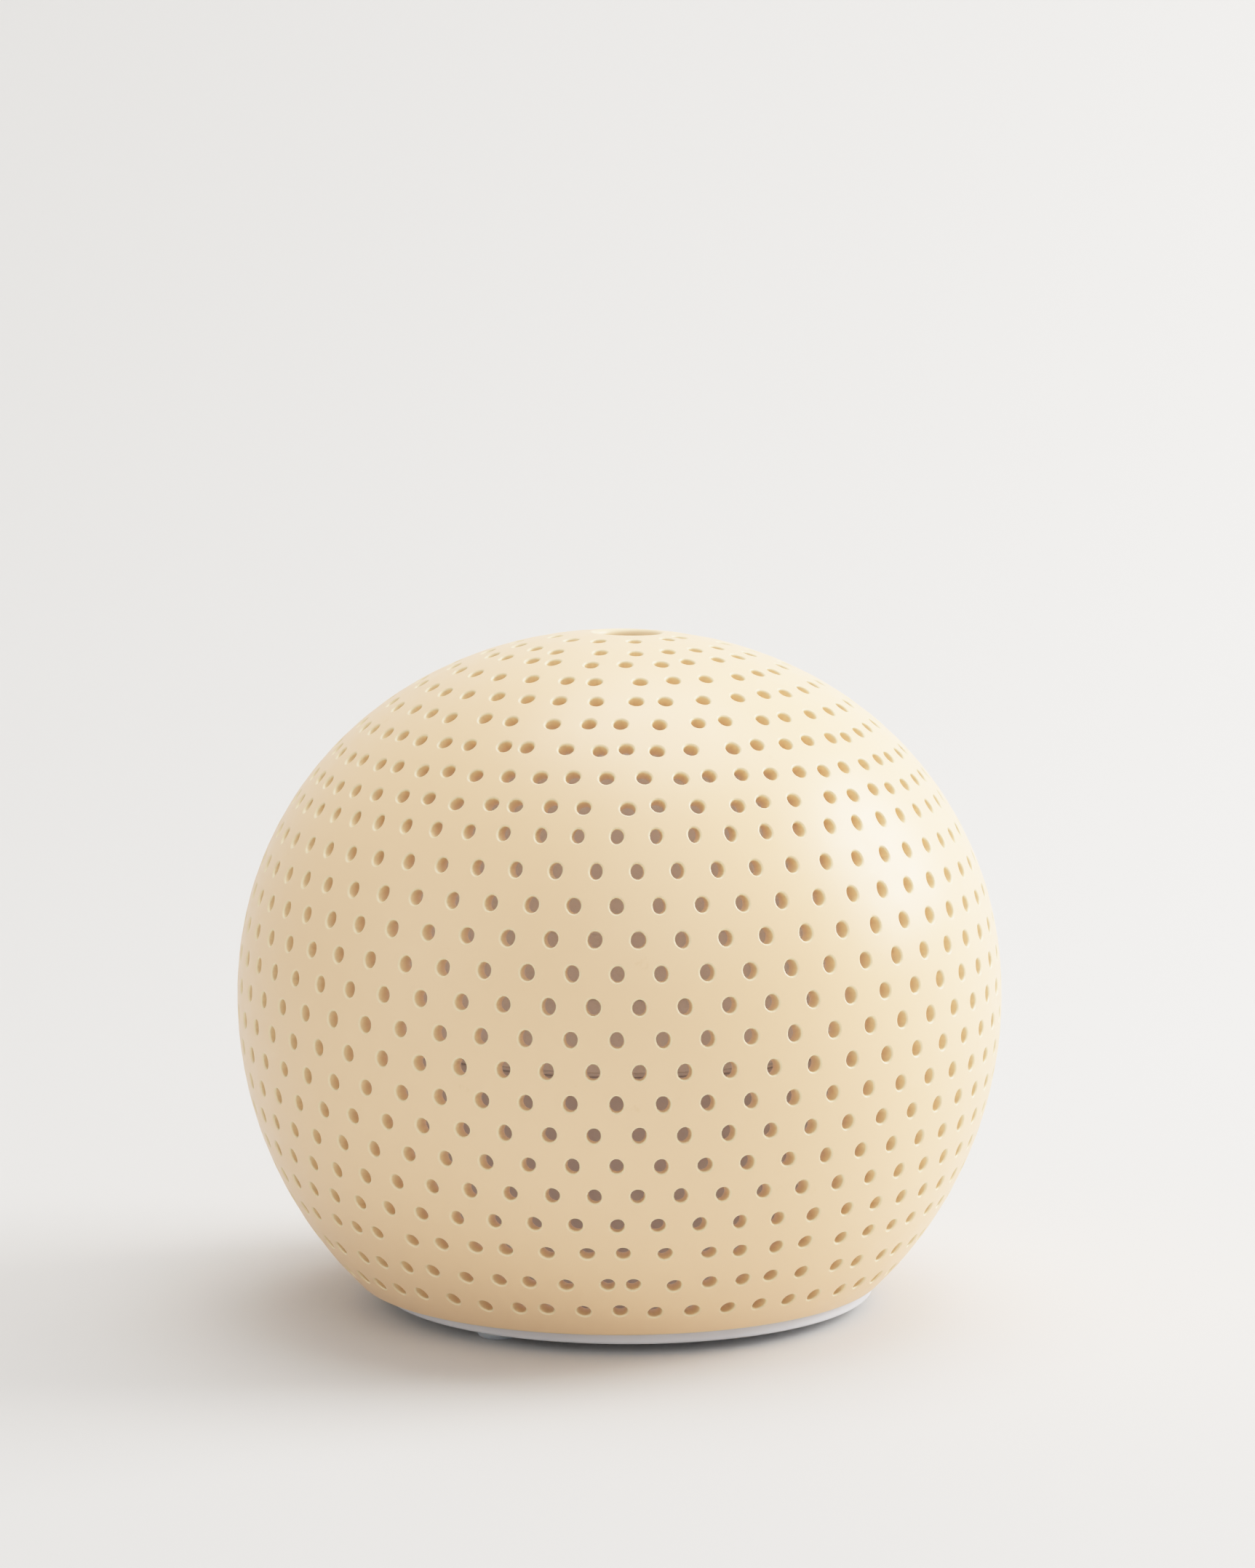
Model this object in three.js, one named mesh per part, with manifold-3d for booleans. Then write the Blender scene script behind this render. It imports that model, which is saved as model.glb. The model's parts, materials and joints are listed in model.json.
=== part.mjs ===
// Ultrasonic aroma diffuser with a perforated ceramic globe cover.
// Millimetres, +Z up, origin on the floor under the middle of the globe, controls at the rear (+Y).
import * as THREE from "three";
import { mergeVertices } from "three/addons/utils/BufferGeometryUtils.js";
import Module from "manifold-3d";

const wasm = await Module();
wasm.setup();

// ---------------------------------------------------------------- driving dimensions

// Ceramic globe cover. Its outline is two half ovals that meet at the widest level.
const coverRadius = 75;
const coverCrown = 71.7; // height of the crown above the widest level
const coverCrownPower = 2.06; // 2 is an ellipse, more is squarer
const coverBelly = 77.4; // half height of the oval that the lower half is cut from
const coverLevel = 61; // height of the widest level above the floor
const coverWall = 3.5;
const coverRimRound = 1.8;
const outletRadius = 6.3;
const archWidth = 46; // rear opening for the cord and the buttons
const archHeight = 25;
const archCorner = 12;

// The inner unit stands a little off the globe's middle, because the cover sits loosely on it.
const unitShift = 1.5;
const unitGap = 1.8; // least room between the cover's opening and the housing

// Base plate and feet
const plateInset = 1.95; // the plate's edge is set back from the cover's rim
const plateThickness = 2.4;
const plateEdgeRound = 0.7;
const footRadius = 3.9;
const footHeight = 2.2; // how far a foot holds the plate above the floor
const footSeatDepth = 0.6;
const footInset = 7.4; // from the plate's edge to a foot's middle
const footCount = 3;
const footAngle = 37; // degrees from the front, towards the left, to the first foot
const labelWidth = 26;
const labelDepth = 15;
const labelThickness = 0.3;

// Housing
const housingWall = 2;
const housingHeight = 47.4; // from the plate's top to the deck's top
const deckThickness = 2;
const spigotHeight = 3;
const spigotWall = 2;
const panelInset = 5.6; // how far the flat control panel is set back into the round wall
const panelHeight = 22.4;
const screwInset = 3.2; // from the wall's inner face to a screw's middle
const screwAngle = 20; // degrees each side of the X axis
const bossRadius = 3.6;
const bossHeight = 10;

// Water tank
const tankRadius = 30.3;
const tankWall = 1.8;
const tankFloor = 2;
const tankDepth = 27; // from the flange's underside to the floor's underside
const tankFlangeInset = 1; // from the housing's outer face
const tankFlange = 2;
const tankRimHeight = 12;
const tankRimWall = 2;
const tankRimInset = 0.6;
const gasketThickness = 1;
const gasketWidth = 2;

// Air chimney and its cap
const chimneyGap = 2.8; // between the chimney and the tank's front wall
const chimneyBore = 4.3;
const chimneyWall = 1.4;
const chimneyHeight = 32; // above the tank's floor
const capWall = 1.2;
const capGap = 1.1;
const capSkirt = 6;
const capRib = 2;

// Tank lid
const lidWall = 1.8;
const lidFlange = 2;
const lidSpigotHeight = 4;
const lidDomeHeight = 28;
const spoutRadius = 6.6;
const spoutBore = 4.9;
const spoutHeight = 9;
const spoutGap = 7.2; // under the cover's crown
const spoutFlare = 1.6;

// Mist transducer under the tank's floor
const discRadius = 9.4;
const discThickness = 0.8;
const apertureRadius = 6.5;
const sealRadius = 10.8;
const sealThickness = 2;
const clampThickness = 1.5;
const clampRadius = 11.6;
const clampEarRing = 14;
const clampEarRadius = 3;

// Fan
const fanSize = 30;
const fanThickness = 8;
const fanCorner = 2.5;
const fanBoreInset = 1.1;
const fanHoleInset = 6; // the hole pitch is this much less than the fan's size
const fanGap = 0.5; // to the base plate's ring
const fanStandoff = 2;
const rotorTipGap = 0.6;
const rotorHub = 6.6;
const rotorBlades = 7;
const rotorShaft = 1;
const shaftClearance = 0.1;
const ventSlotWidth = 2.2;
const ventSlotPitch = 4.2;
const ventSlots = 7;
const ductWall = 1.1;

// Circuit board and what it carries
const boardThickness = 1.6;
const boardStandoff = 5;
const boardHalfWidth = 27;
const boardGap = 7.8; // behind the fan
const boardCorner = 7.5;
const boardHoleX = 23;
const boardHoleInset = 4; // from the front edge
const boardHoleRear = 12.5; // from the rear edge
const pillarRadius = 2.8;
const jackWidth = 9.2;
const jackDepth = 12;
const jackHeight = 11.2;
const jackBarrel = 4.2;
const jackBore = 2.8;
const jackBoreDepth = 9;
const jackPin = 1.05;
const switchWidth = 6;
const switchDepth = 4.5;
const switchHeight = 8.6;
const buttonDistance = 14; // each side of the middle
const buttonRadius = 3.4;
const buttonFlange = 1; // wider than the button's hole all round
const buttonFlangeThickness = 1;
const buttonProud = 1.2;
const buttonTravel = 0.8;
const plungerRadius = 1.4;
const heatSinkHeight = 8.5;

// Light ring
const lightBoardGap = 1.6; // to the tank and to the housing's wall
const lightBoardDrop = 2; // below the deck
const lightCount = 6;
const lightSize = 4.6;
const lightHeight = 1.4;
const lightWindow = 3.2;
const lightPostRadius = 1.5;

// Fasteners and leads
const screwShank = 1.4;
const screwHead = 2.9;
const screwHeadHeight = 1.2;
const screwLength = 11;
const smallShank = 0.9;
const smallHead = 1.7;
const smallHeadHeight = 0.9;
const leadRadius = 0.7;

// Clearances
const slipGap = 0.3; // between pieces that fit together
const screwGap = 0.25; // round a screw's shank

// Smoothness
const coverFacets = 44;
const roundFacets = 32;
const middleFacets = 24;
const smallFacets = 12;
const tinyFacets = 8;

// ---------------------------------------------------------------- worked-out levels

const plateLow = footHeight;
const plateTop = plateLow + plateThickness;

// Reach of the globe's lower half at a level, for an outline inset by a wall.
function bellyReach(inset, level) {
  const drop = (level - coverLevel) / (coverBelly - inset);
  return (coverRadius - inset) * Math.sqrt(1 - drop ** 2);
}

const rimRoundLevel = plateTop + coverRimRound;
const rimRoundRadius = bellyReach(coverRimRound, rimRoundLevel);
const openingLevel = plateTop + coverRimRound / 3;
const openingRadius = bellyReach(coverWall, openingLevel);
const plateRadius = rimRoundRadius - plateInset;
const footRing = plateRadius - footInset;
const housingRadius = openingRadius - unitShift - unitGap;
const housingInner = housingRadius - housingWall;
const screwRing = housingInner - screwInset;
const panelDistance = housingRadius - panelInset;
const spigotTop = plateTop + spigotHeight;
const deckTop = plateTop + housingHeight;
const deckLow = deckTop - deckThickness;
const flangeLow = deckTop + gasketThickness;
const flangeTop = flangeLow + tankFlange;
const floorLow = flangeLow - tankDepth;
const floorTop = floorLow + tankFloor;
const rimTop = flangeTop + tankRimHeight;
const tankFlangeRadius = housingRadius - tankFlangeInset;
const rimOuter = tankFlangeRadius - tankRimInset;
const rimInner = rimOuter - tankRimWall;
const chimneyTop = floorTop + chimneyHeight;
const lidTop = coverLevel + coverCrown - coverWall - spoutGap;
const lidShoulder = lidTop - spoutHeight - lidDomeHeight;
const spigotOuter = housingInner - slipGap;
const spigotInner = spigotOuter - spigotWall;
const boardLow = plateTop + boardStandoff;
const boardTop = boardLow + boardThickness;
const panelInner = panelDistance - housingWall;
const panelTop = plateTop + panelHeight;
const controlLevel = boardTop + jackHeight / 2;
const fanLow = plateTop + fanStandoff;
const fanTop = fanLow + fanThickness;
const fanHalf = fanSize / 2;
const fanBore = fanHalf - fanBoreInset;
const fanHolePitch = fanSize - fanHoleInset;
// The fan's front corners just clear the base plate's ring.
const fanY = fanHalf - Math.sqrt((spigotInner - fanGap) ** 2 - fanHalf ** 2);
const chimneyOuter = chimneyBore + chimneyWall;
const chimneyY = chimneyOuter + chimneyGap + tankWall - tankRadius;
const ductNeck = chimneyOuter + slipGap;
// The mist disc is on the axis unless the chimney pushes it back.
const mistY = Math.max(0, chimneyY + ductNeck + clampRadius + slipGap);
const boardFront = fanY + fanHalf + boardGap;
const boardRear = panelInner - slipGap - 1.2;
const partsY = (boardFront + boardRear) / 2; // of the larger parts on the board
const lightBoardInner = tankRadius + lightBoardGap;
const lightBoardOuter = housingInner - lightBoardGap;
const lightRing = (lightBoardInner + lightBoardOuter) / 2;

// ---------------------------------------------------------------- materials

function finish(color, roughness, metalness = 0, opacity = 1) {
  const transparent = opacity < 1;
  return new THREE.MeshStandardMaterial({ color, roughness, metalness, opacity, transparent });
}

const materials = {
  ceramic: finish(0xf0dcbc, 0.42),
  whitePlastic: finish(0xdedfe6, 0.45),
  tankPlastic: finish(0xece9e4, 0.35, 0, 0.85),
  silicone: finish(0xc9ccd2, 0.5, 0, 0.7),
  blackPlastic: finish(0x1b1c1e, 0.5),
  board: finish(0x1f5a38, 0.5),
  whiteBoard: finish(0xe8e8e2, 0.5),
  steel: finish(0xb9bcc0, 0.3, 1),
  aluminium: finish(0xc6c8cb, 0.4, 1),
  ferrite: finish(0x35322f, 0.7),
  capacitorSleeve: finish(0x1d2440, 0.4),
  ledLens: finish(0xf3e7b8, 0.25),
  label: finish(0xc9cbce, 0.35),
  redLead: finish(0xa32622, 0.45),
  blackLead: finish(0x202124, 0.45),
};

// ---------------------------------------------------------------- shape helpers

const radians = THREE.MathUtils.degToRad;

// A geometry as a manifold-3d solid.
function solid(geometry) {
  const bare = geometry.clone();
  bare.deleteAttribute("normal");
  bare.deleteAttribute("uv");
  const merged = mergeVertices(bare, 1e-4);
  return new wasm.Manifold(
    new wasm.Mesh({
      numProp: 3,
      vertProperties: merged.attributes.position.array,
      triVerts: new Uint32Array(merged.index.array),
    }),
  );
}

// A manifold-3d solid as a geometry.
function toGeometry(body) {
  const mesh = body.getMesh();
  const geometry = new THREE.BufferGeometry();
  geometry.setAttribute("position", new THREE.BufferAttribute(mesh.vertProperties, 3));
  geometry.setIndex(new THREE.BufferAttribute(mesh.triVerts, 1));
  geometry.computeVertexNormals();
  return geometry;
}

const joined = (first, ...rest) => rest.reduce((body, piece) => body.add(piece), first);
const cutBy = (first, ...rest) => rest.reduce((body, piece) => body.subtract(piece), first);

// Twice the signed area of an outline of [radius, height] points, positive when anticlockwise.
function signedArea(points) {
  return points.reduce((sum, [x, y], i) => {
    const [nextX, nextY] = points[(i + 1) % points.length];
    return sum + x * nextY - nextX * y;
  }, 0);
}

// A solid of revolution about Z from an outline of [radius, height] points.
function turned(outline, facets = roundFacets) {
  const points = signedArea(outline) < 0 ? [...outline].reverse() : [...outline];
  points.push(points[0]);
  const profile = points.map(([radius, height]) => new THREE.Vector2(radius, height));
  return solid(new THREE.LatheGeometry(profile, facets).rotateX(Math.PI / 2));
}

const turnedSmall = (outline) => turned(outline, smallFacets);

const rod = (radius, low, high, facets = smallFacets) =>
  turned([[0, low], [radius, low], [radius, high], [0, high]], facets);

const ring = (inner, outer, low, high, facets = roundFacets) =>
  turned([[inner, low], [outer, low], [outer, high], [inner, high]], facets);

// A block centred on X and Y = 0 that stands on the level low.
function block(width, depth, low, high) {
  const geometry = new THREE.BoxGeometry(width, depth, high - low);
  return solid(geometry.translate(0, 0, (low + high) / 2));
}

// A flat shape in X and Y, standing from low to high.
function slab(shape, low, high, curveSegments = 6) {
  const geometry = new THREE.ExtrudeGeometry(shape, {
    depth: high - low,
    bevelEnabled: false,
    curveSegments,
  });
  return solid(geometry.translate(0, 0, low));
}

// A rod that lies along Y, from near to far.
function rodAlongY(radius, near, far, facets = smallFacets) {
  const geometry = new THREE.CylinderGeometry(radius, radius, far - near, facets);
  return solid(geometry.translate(0, (near + far) / 2, 0));
}

const moved = (body, x, y, z = 0) => {
  const geometry = toGeometry(body).translate(x, y, z);
  return solid(geometry);
};

const spun = (body, degrees) => solid(toGeometry(body).rotateZ(radians(degrees)));

function roundedRectangle(width, depth, corner) {
  const x = width / 2;
  const y = depth / 2;
  const shape = new THREE.Shape();
  shape.moveTo(corner - x, -y);
  shape.lineTo(x - corner, -y);
  shape.absarc(x - corner, corner - y, corner, -Math.PI / 2, 0);
  shape.lineTo(x, y - corner);
  shape.absarc(x - corner, y - corner, corner, 0, Math.PI / 2);
  shape.lineTo(corner - x, y);
  shape.absarc(corner - x, y - corner, corner, Math.PI / 2, Math.PI);
  shape.lineTo(-x, corner - y);
  shape.absarc(corner - x, corner - y, corner, Math.PI, 1.5 * Math.PI);
  return shape;
}

// Points of an arc in an outline: centre, radii, and start and end angles in degrees.
function arc(centreX, centreY, radiusX, radiusY, from, to, steps) {
  return Array.from({ length: steps + 1 }, (_, i) => {
    const angle = radians(from + ((to - from) * i) / steps);
    return [centreX + radiusX * Math.cos(angle), centreY + radiusY * Math.sin(angle)];
  });
}

// Places on a ring about the unit's axis, in degrees from +X.
const onRing = (radius, degrees) => [
  radius * Math.cos(radians(degrees)),
  radius * Math.sin(radians(degrees)),
];

const fourAbout = (angle) => [angle, 180 - angle, 180 + angle, 360 - angle];

const unit = new THREE.Group();
unit.position.x = unitShift;
const diffuser = new THREE.Group();
diffuser.add(unit);

function addPiece(group, name, body, material) {
  const mesh = new THREE.Mesh(toGeometry(body), material);
  mesh.name = name;
  group.add(mesh);
  return mesh;
}

// ---------------------------------------------------------------- ceramic cover

// The globe's outline inset by a wall, from a level up to the axis.
function globeOutline(inset, lowLevel, lowSteps, highSteps) {
  const radius = coverRadius - inset;
  const crown = coverCrown - inset;
  const belly = coverBelly - inset;
  const start = Math.asin((lowLevel - coverLevel) / belly);
  const power = 2 / coverCrownPower;
  const lower = Array.from({ length: lowSteps }, (_, i) => {
    const angle = start * (1 - i / lowSteps);
    return [radius * Math.cos(angle), coverLevel + belly * Math.sin(angle)];
  });
  const upper = Array.from({ length: highSteps }, (_, i) => {
    const angle = ((Math.PI / 2) * i) / highSteps;
    return [radius * Math.cos(angle) ** power, coverLevel + crown * Math.sin(angle) ** power];
  });
  return [...lower, ...upper, [0, coverLevel + crown]];
}

function archShape() {
  const half = archWidth / 2;
  const shape = new THREE.Shape();
  shape.moveTo(-half, -1);
  shape.lineTo(half, -1);
  shape.lineTo(half, archHeight - archCorner);
  shape.absarc(half - archCorner, archHeight - archCorner, archCorner, 0, Math.PI / 2);
  shape.absarc(archCorner - half, archHeight - archCorner, archCorner, Math.PI / 2, Math.PI);
  return shape;
}

function ceramicCover() {
  // The rim's round runs from straight down to square with the globe's outline.
  const lean = Math.atan2(
    (rimRoundLevel - coverLevel) / coverBelly ** 2,
    rimRoundRadius / coverRadius ** 2,
  );
  const leanDegrees = THREE.MathUtils.radToDeg(lean);
  const round = arc(
    rimRoundRadius, rimRoundLevel, coverRimRound, coverRimRound, -90, leanDegrees, 2,
  );
  const [, roundTop] = round.at(-1);
  const outline = [
    [openingRadius + coverRimRound / 3, plateTop],
    ...round,
    ...globeOutline(0, roundTop, 5, 9).slice(1),
    ...globeOutline(coverWall, openingLevel, 4, 8).reverse(),
  ];
  const shell = turned(outline, coverFacets);
  const outletDrill = moved(rod(outletRadius, coverLevel, 2 * coverRadius, middleFacets), unitShift, 0);
  // The arch is drawn upright in X and Z, and reaches out through the rear wall.
  const arch = new THREE.ExtrudeGeometry(archShape(), {
    depth: coverRadius,
    bevelEnabled: false,
    curveSegments: 5,
  });
  arch.rotateX(Math.PI / 2);
  arch.translate(0, coverRadius + housingRadius / 2, plateTop);
  return cutBy(shell, outletDrill, solid(arch));
}

// ---------------------------------------------------------------- base plate and feet

const footPlaces = Array.from({ length: footCount }, (_, i) =>
  onRing(footRing, 270 - footAngle + (i * 360) / footCount),
);
const screwPlaces = fourAbout(screwAngle).map((angle) => onRing(screwRing, angle));
const boardHoleRows = [boardFront + boardHoleInset, boardRear - boardHoleRear];
const boardPlaces = boardHoleRows.flatMap((y) => [[boardHoleX, y], [-boardHoleX, y]]);
const fanCorners = [1, -1].flatMap((x) =>
  [1, -1].map((y) => [(x * fanHolePitch) / 2, fanY + (y * fanHolePitch) / 2]),
);
// The fan is held at two opposite corners.
const fanScrewPlaces = [fanCorners[0], fanCorners[3]];
const labelY = (boardHoleRows[0] + boardHoleRows[1]) / 2;
const labelSeat = labelThickness + 0.1;
const counterbore = screwHeadHeight + 0.2;

function plateDisc() {
  const edge = plateRadius - plateEdgeRound;
  return turned([
    [0, plateLow],
    ...arc(edge, plateLow + plateEdgeRound, plateEdgeRound, plateEdgeRound, -90, 0, 3),
    ...arc(edge, plateTop - plateEdgeRound / 2, plateEdgeRound, plateEdgeRound / 2, 0, 90, 2),
    [0, plateTop],
  ], coverFacets);
}

function ventSlotCuts() {
  const reach = fanBore - 1;
  return Array.from({ length: ventSlots }, (_, i) => {
    const x = (i - (ventSlots - 1) / 2) * ventSlotPitch;
    const length = 2 * Math.sqrt(Math.max(reach ** 2 - (Math.abs(x) + ventSlotWidth / 2) ** 2, 4));
    return moved(block(ventSlotWidth, length, plateLow - 1, plateTop + 1), x, fanY);
  });
}

function basePlate() {
  const pillars = [
    ring(spigotInner, spigotOuter, plateTop - 0.5, spigotTop),
    ...screwPlaces.map(([x, y]) => moved(rod(bossRadius, plateTop - 0.5, spigotTop), x, y)),
    ...boardPlaces.map(([x, y]) => moved(rod(pillarRadius, plateTop - 0.5, boardLow, tinyFacets), x, y)),
    ...fanCorners.map(([x, y]) => moved(rod(pillarRadius - 0.6, plateTop - 0.5, fanLow, tinyFacets), x, y)),
  ];
  const panelClearance = moved(
    block(4 * boardHalfWidth, 2 * housingRadius, plateTop, spigotTop + 1),
    0,
    panelInner - slipGap + housingRadius,
  );
  const inside = rod(spigotOuter, plateTop - 1, boardLow + 1, roundFacets);
  const raised = cutBy(joined(...pillars).intersect(inside), panelClearance);
  const cuts = [
    ...ventSlotCuts(),
    ...footPlaces.map(([x, y]) =>
      moved(rod(footRadius + 0.2, plateLow - 1, plateLow + footSeatDepth), x, y),
    ),
    ...screwPlaces.map(([x, y]) =>
      moved(rod(screwHead + 0.4, plateLow - 1, plateLow + counterbore), x, y),
    ),
    ...screwPlaces.map(([x, y]) => moved(rod(screwShank + screwGap, plateLow, spigotTop + 1), x, y)),
    ...boardPlaces.map(([x, y]) =>
      moved(rod(smallShank + screwGap, plateTop - 1, boardLow + 1, tinyFacets), x, y),
    ),
    ...fanScrewPlaces.map(([x, y]) =>
      moved(rod(smallShank + screwGap, plateTop - 1, fanLow + 1, tinyFacets), x, y),
    ),
    moved(block(labelWidth + 0.6, labelDepth + 0.6, plateLow - 1, plateLow + labelSeat), 0, labelY),
  ];
  return cutBy(plateDisc().add(raised), ...cuts);
}

function foot() {
  const seat = plateLow + footSeatDepth;
  return turned([
    [0, 0],
    ...arc(footRadius - 1.1, 1.1, 1.1, 1.1, -90, 0, 2),
    [footRadius, seat],
    [0, seat],
  ], smallFacets);
}

// ---------------------------------------------------------------- housing

// The part of a disc of the housing's radius that lies behind the panel's inner face.
function panelSegment(low, high) {
  const disc = rod(housingRadius, low, high, roundFacets);
  const behind = block(4 * housingRadius, 2 * housingRadius, low - 1, high + 1);
  return disc.intersect(moved(behind, 0, panelInner + housingRadius));
}

function housing() {
  const tankHole = tankRadius + slipGap;
  const cup = turned([
    [housingInner, plateTop],
    [housingRadius, plateTop],
    [housingRadius, deckTop],
    [tankHole, deckTop],
    [tankHole, deckLow],
    [housingInner, deckLow],
  ]);
  const segment = panelSegment(plateTop, panelTop + housingWall);
  const panelRecess = moved(
    block(4 * housingRadius, 2 * housingRadius, plateTop - 1, panelTop),
    0,
    panelDistance + housingRadius,
  );
  const bosses = screwPlaces.map(([x, y]) =>
    moved(rod(bossRadius, spigotTop, spigotTop + bossHeight), x, y),
  );
  const posts = [30, 150, 270].map((angle) =>
    moved(rod(lightPostRadius, deckLow - lightBoardDrop, deckLow + 0.5, tinyFacets),
      ...onRing(lightRing, angle)),
  );
  const outside = ring(housingRadius, 2 * housingRadius, 0, deckTop + 1);
  const body = cutBy(joined(cup, segment, ...bosses, ...posts), panelRecess, outside);
  const holes = [
    ...screwPlaces.map(([x, y]) =>
      moved(rod(screwShank + screwGap, spigotTop - 1, spigotTop + bossHeight - 1.5), x, y),
    ),
    moved(rodAlongY(jackBarrel + slipGap, panelInner - 1, panelDistance + 1), 0, 0, controlLevel),
    ...[-1, 1].map((side) =>
      moved(
        rodAlongY(buttonRadius + slipGap, panelInner - 1, panelDistance + 1),
        side * buttonDistance,
        0,
        controlLevel,
      ),
    ),
    ...lightAngles.map((angle) =>
      moved(rod(lightWindow, deckLow - 1, deckTop + 1), ...onRing(lightRing, angle)),
    ),
  ];
  return cutBy(body, ...holes);
}

// ---------------------------------------------------------------- water tank, chimney, lid

const earAngles = [90, 210, 330];
const earPlaces = earAngles.map((angle) => {
  const [x, y] = onRing(clampEarRing, angle);
  return [x, y + mistY];
});

function waterTank() {
  const basin = turned([
    [0, floorLow],
    ...arc(tankRadius - 3, floorLow + 3, 3, 3, -90, 0, 3),
    [tankRadius, flangeLow],
    [tankFlangeRadius, flangeLow],
    [tankFlangeRadius, flangeTop],
    [rimOuter, flangeTop],
    [rimOuter, rimTop],
    [rimInner, rimTop],
    [rimInner, flangeTop],
    [tankRadius - tankWall, flangeTop],
    ...arc(tankRadius - 3, floorTop + 2, 3 - tankWall, 2, 0, -90, 2),
    [0, floorTop],
  ]);
  const chimney = moved(rod(chimneyOuter, floorTop - 0.5, chimneyTop, smallFacets), 0, chimneyY);
  const bosses = earPlaces.map(([x, y]) =>
    moved(rod(clampEarRadius, floorLow - sealThickness, floorLow + 0.5), x, y),
  );
  const cuts = [
    moved(rod(chimneyBore, floorLow - 1, chimneyTop + 1, smallFacets), 0, chimneyY),
    moved(rod(apertureRadius, floorLow - 1, floorTop + 1, middleFacets), 0, mistY),
    ...earPlaces.map(([x, y]) =>
      moved(rod(smallShank + screwGap, floorLow - sealThickness - 1, floorTop - 0.8, tinyFacets), x, y),
    ),
  ];
  return cutBy(joined(basin, chimney, ...bosses), ...cuts);
}

function chimneyCap() {
  const inner = chimneyOuter + capGap;
  const outer = inner + capWall;
  const roofLow = chimneyTop + capRib;
  const bell = turned([
    [0, roofLow],
    [inner, roofLow],
    [inner, chimneyTop - capSkirt],
    [outer, chimneyTop - capSkirt],
    [outer, roofLow],
    ...arc(outer - capWall, roofLow, capWall, capWall, 30, 90, 2),
    [0, roofLow + capWall],
  ], smallFacets);
  const rib = block(2 * inner + 0.5, capWall, chimneyTop, roofLow + 0.5);
  return moved(joined(bell, rib, spun(rib, 90)), 0, chimneyY);
}

function tankLid() {
  const wallRadius = rimOuter - tankRimInset;
  const spigotRadius = rimInner - slipGap;
  const neckRadius = spoutRadius + spoutFlare;
  const reach = wallRadius - neckRadius;
  const spoutLow = lidShoulder + lidDomeHeight;
  const innerRise = lidDomeHeight - lidWall;
  return turned([
    [spigotRadius - lidWall, rimTop - lidSpigotHeight],
    [spigotRadius, rimTop - lidSpigotHeight],
    [spigotRadius, rimTop],
    [tankFlangeRadius, rimTop],
    [tankFlangeRadius, rimTop + lidFlange],
    [wallRadius, rimTop + lidFlange],
    ...arc(neckRadius, lidShoulder, reach, lidDomeHeight, 0, 84, 7),
    [spoutRadius, spoutLow + spoutFlare],
    [spoutRadius, lidTop],
    [spoutBore, lidTop],
    [spoutBore, spoutLow - lidWall],
    ...arc(neckRadius, lidShoulder, reach - lidWall, innerRise, 84, 0, 6),
    [wallRadius - lidWall, rimTop + lidFlange],
    [spigotRadius - lidWall, rimTop],
  ]);
}

// ---------------------------------------------------------------- mist transducer

const sealLow = floorLow - sealThickness;
const clampLow = sealLow - clampThickness;
const discLow = floorLow - (sealThickness + discThickness) / 2;

function transducerSeal() {
  const grooveGap = 0.1;
  const grooveRadius = discRadius + 2 * grooveGap;
  const grooveLow = discLow - grooveGap;
  const grooveTop = discLow + discThickness + grooveGap;
  const lip = apertureRadius + 0.6;
  return moved(turned([
    [lip, sealLow],
    [sealRadius, sealLow],
    [sealRadius, floorLow],
    [lip, floorLow],
    [lip, grooveTop],
    [grooveRadius, grooveTop],
    [grooveRadius, grooveLow],
    [lip, grooveLow],
  ], middleFacets), 0, mistY);
}

function transducerClamp() {
  const ears = earPlaces.map(([x, y]) => moved(rod(clampEarRadius, clampLow, sealLow), x, y));
  const holes = earPlaces.map(([x, y]) =>
    moved(rod(smallShank + screwGap, clampLow - 1, sealLow + 1, tinyFacets), x, y),
  );
  const opening = moved(rod(apertureRadius, clampLow - 1, sealLow + 1, middleFacets), 0, mistY);
  const plate = moved(rod(clampRadius, clampLow, sealLow, middleFacets), 0, mistY);
  return cutBy(joined(plate, ...ears), opening, ...holes);
}

// ---------------------------------------------------------------- fan and duct

function fanFrame() {
  const body = slab(roundedRectangle(fanSize, fanSize, fanCorner), fanLow, fanTop, 3);
  const strutHeight = 1;
  const struts = [0, 60, 120].map((angle) =>
    spun(block(2 * fanBore + 1, 1.6, fanLow, fanLow + strutHeight), angle),
  );
  const stator = joined(rod(rotorHub, fanLow, fanLow + strutHeight), ...struts);
  const shaftHole = rod(rotorShaft + shaftClearance, fanLow - 1, fanTop);
  const holes = fanCorners.map(([x, y]) =>
    moved(rod(smallShank + screwGap, fanLow - 1, fanTop + 1, tinyFacets), x, y - fanY),
  );
  const frame = cutBy(body, rod(fanBore, fanLow - 1, fanTop + 1, middleFacets)).add(stator);
  return moved(cutBy(frame, shaftHole, ...holes), 0, fanY);
}

// One swept blade, a slanted slab from the hub to the tip.
function fanBlade(low, high) {
  const tip = fanBore - rotorTipGap;
  const length = tip - rotorHub + 1;
  const blade = new THREE.BoxGeometry(length, 0.9, (high - low) * 1.25);
  blade.rotateX(radians(38));
  blade.translate(rotorHub - 1 + length / 2, 0, (low + high) / 2);
  return solid(blade);
}

function fanRotor() {
  const low = fanLow + 1.6;
  const high = fanTop - 0.5;
  const hub = rod(rotorHub, low, high);
  const shaft = rod(rotorShaft, fanLow + 0.3, low + 0.5);
  const blades = Array.from({ length: rotorBlades }, (_, i) =>
    spun(fanBlade(low + 0.4, high - 0.6), (360 * i) / rotorBlades),
  );
  const swept = rod(fanBore - rotorTipGap, low, high, middleFacets);
  return moved(joined(hub, ...blades).intersect(swept).add(shaft), 0, fanY);
}

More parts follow.
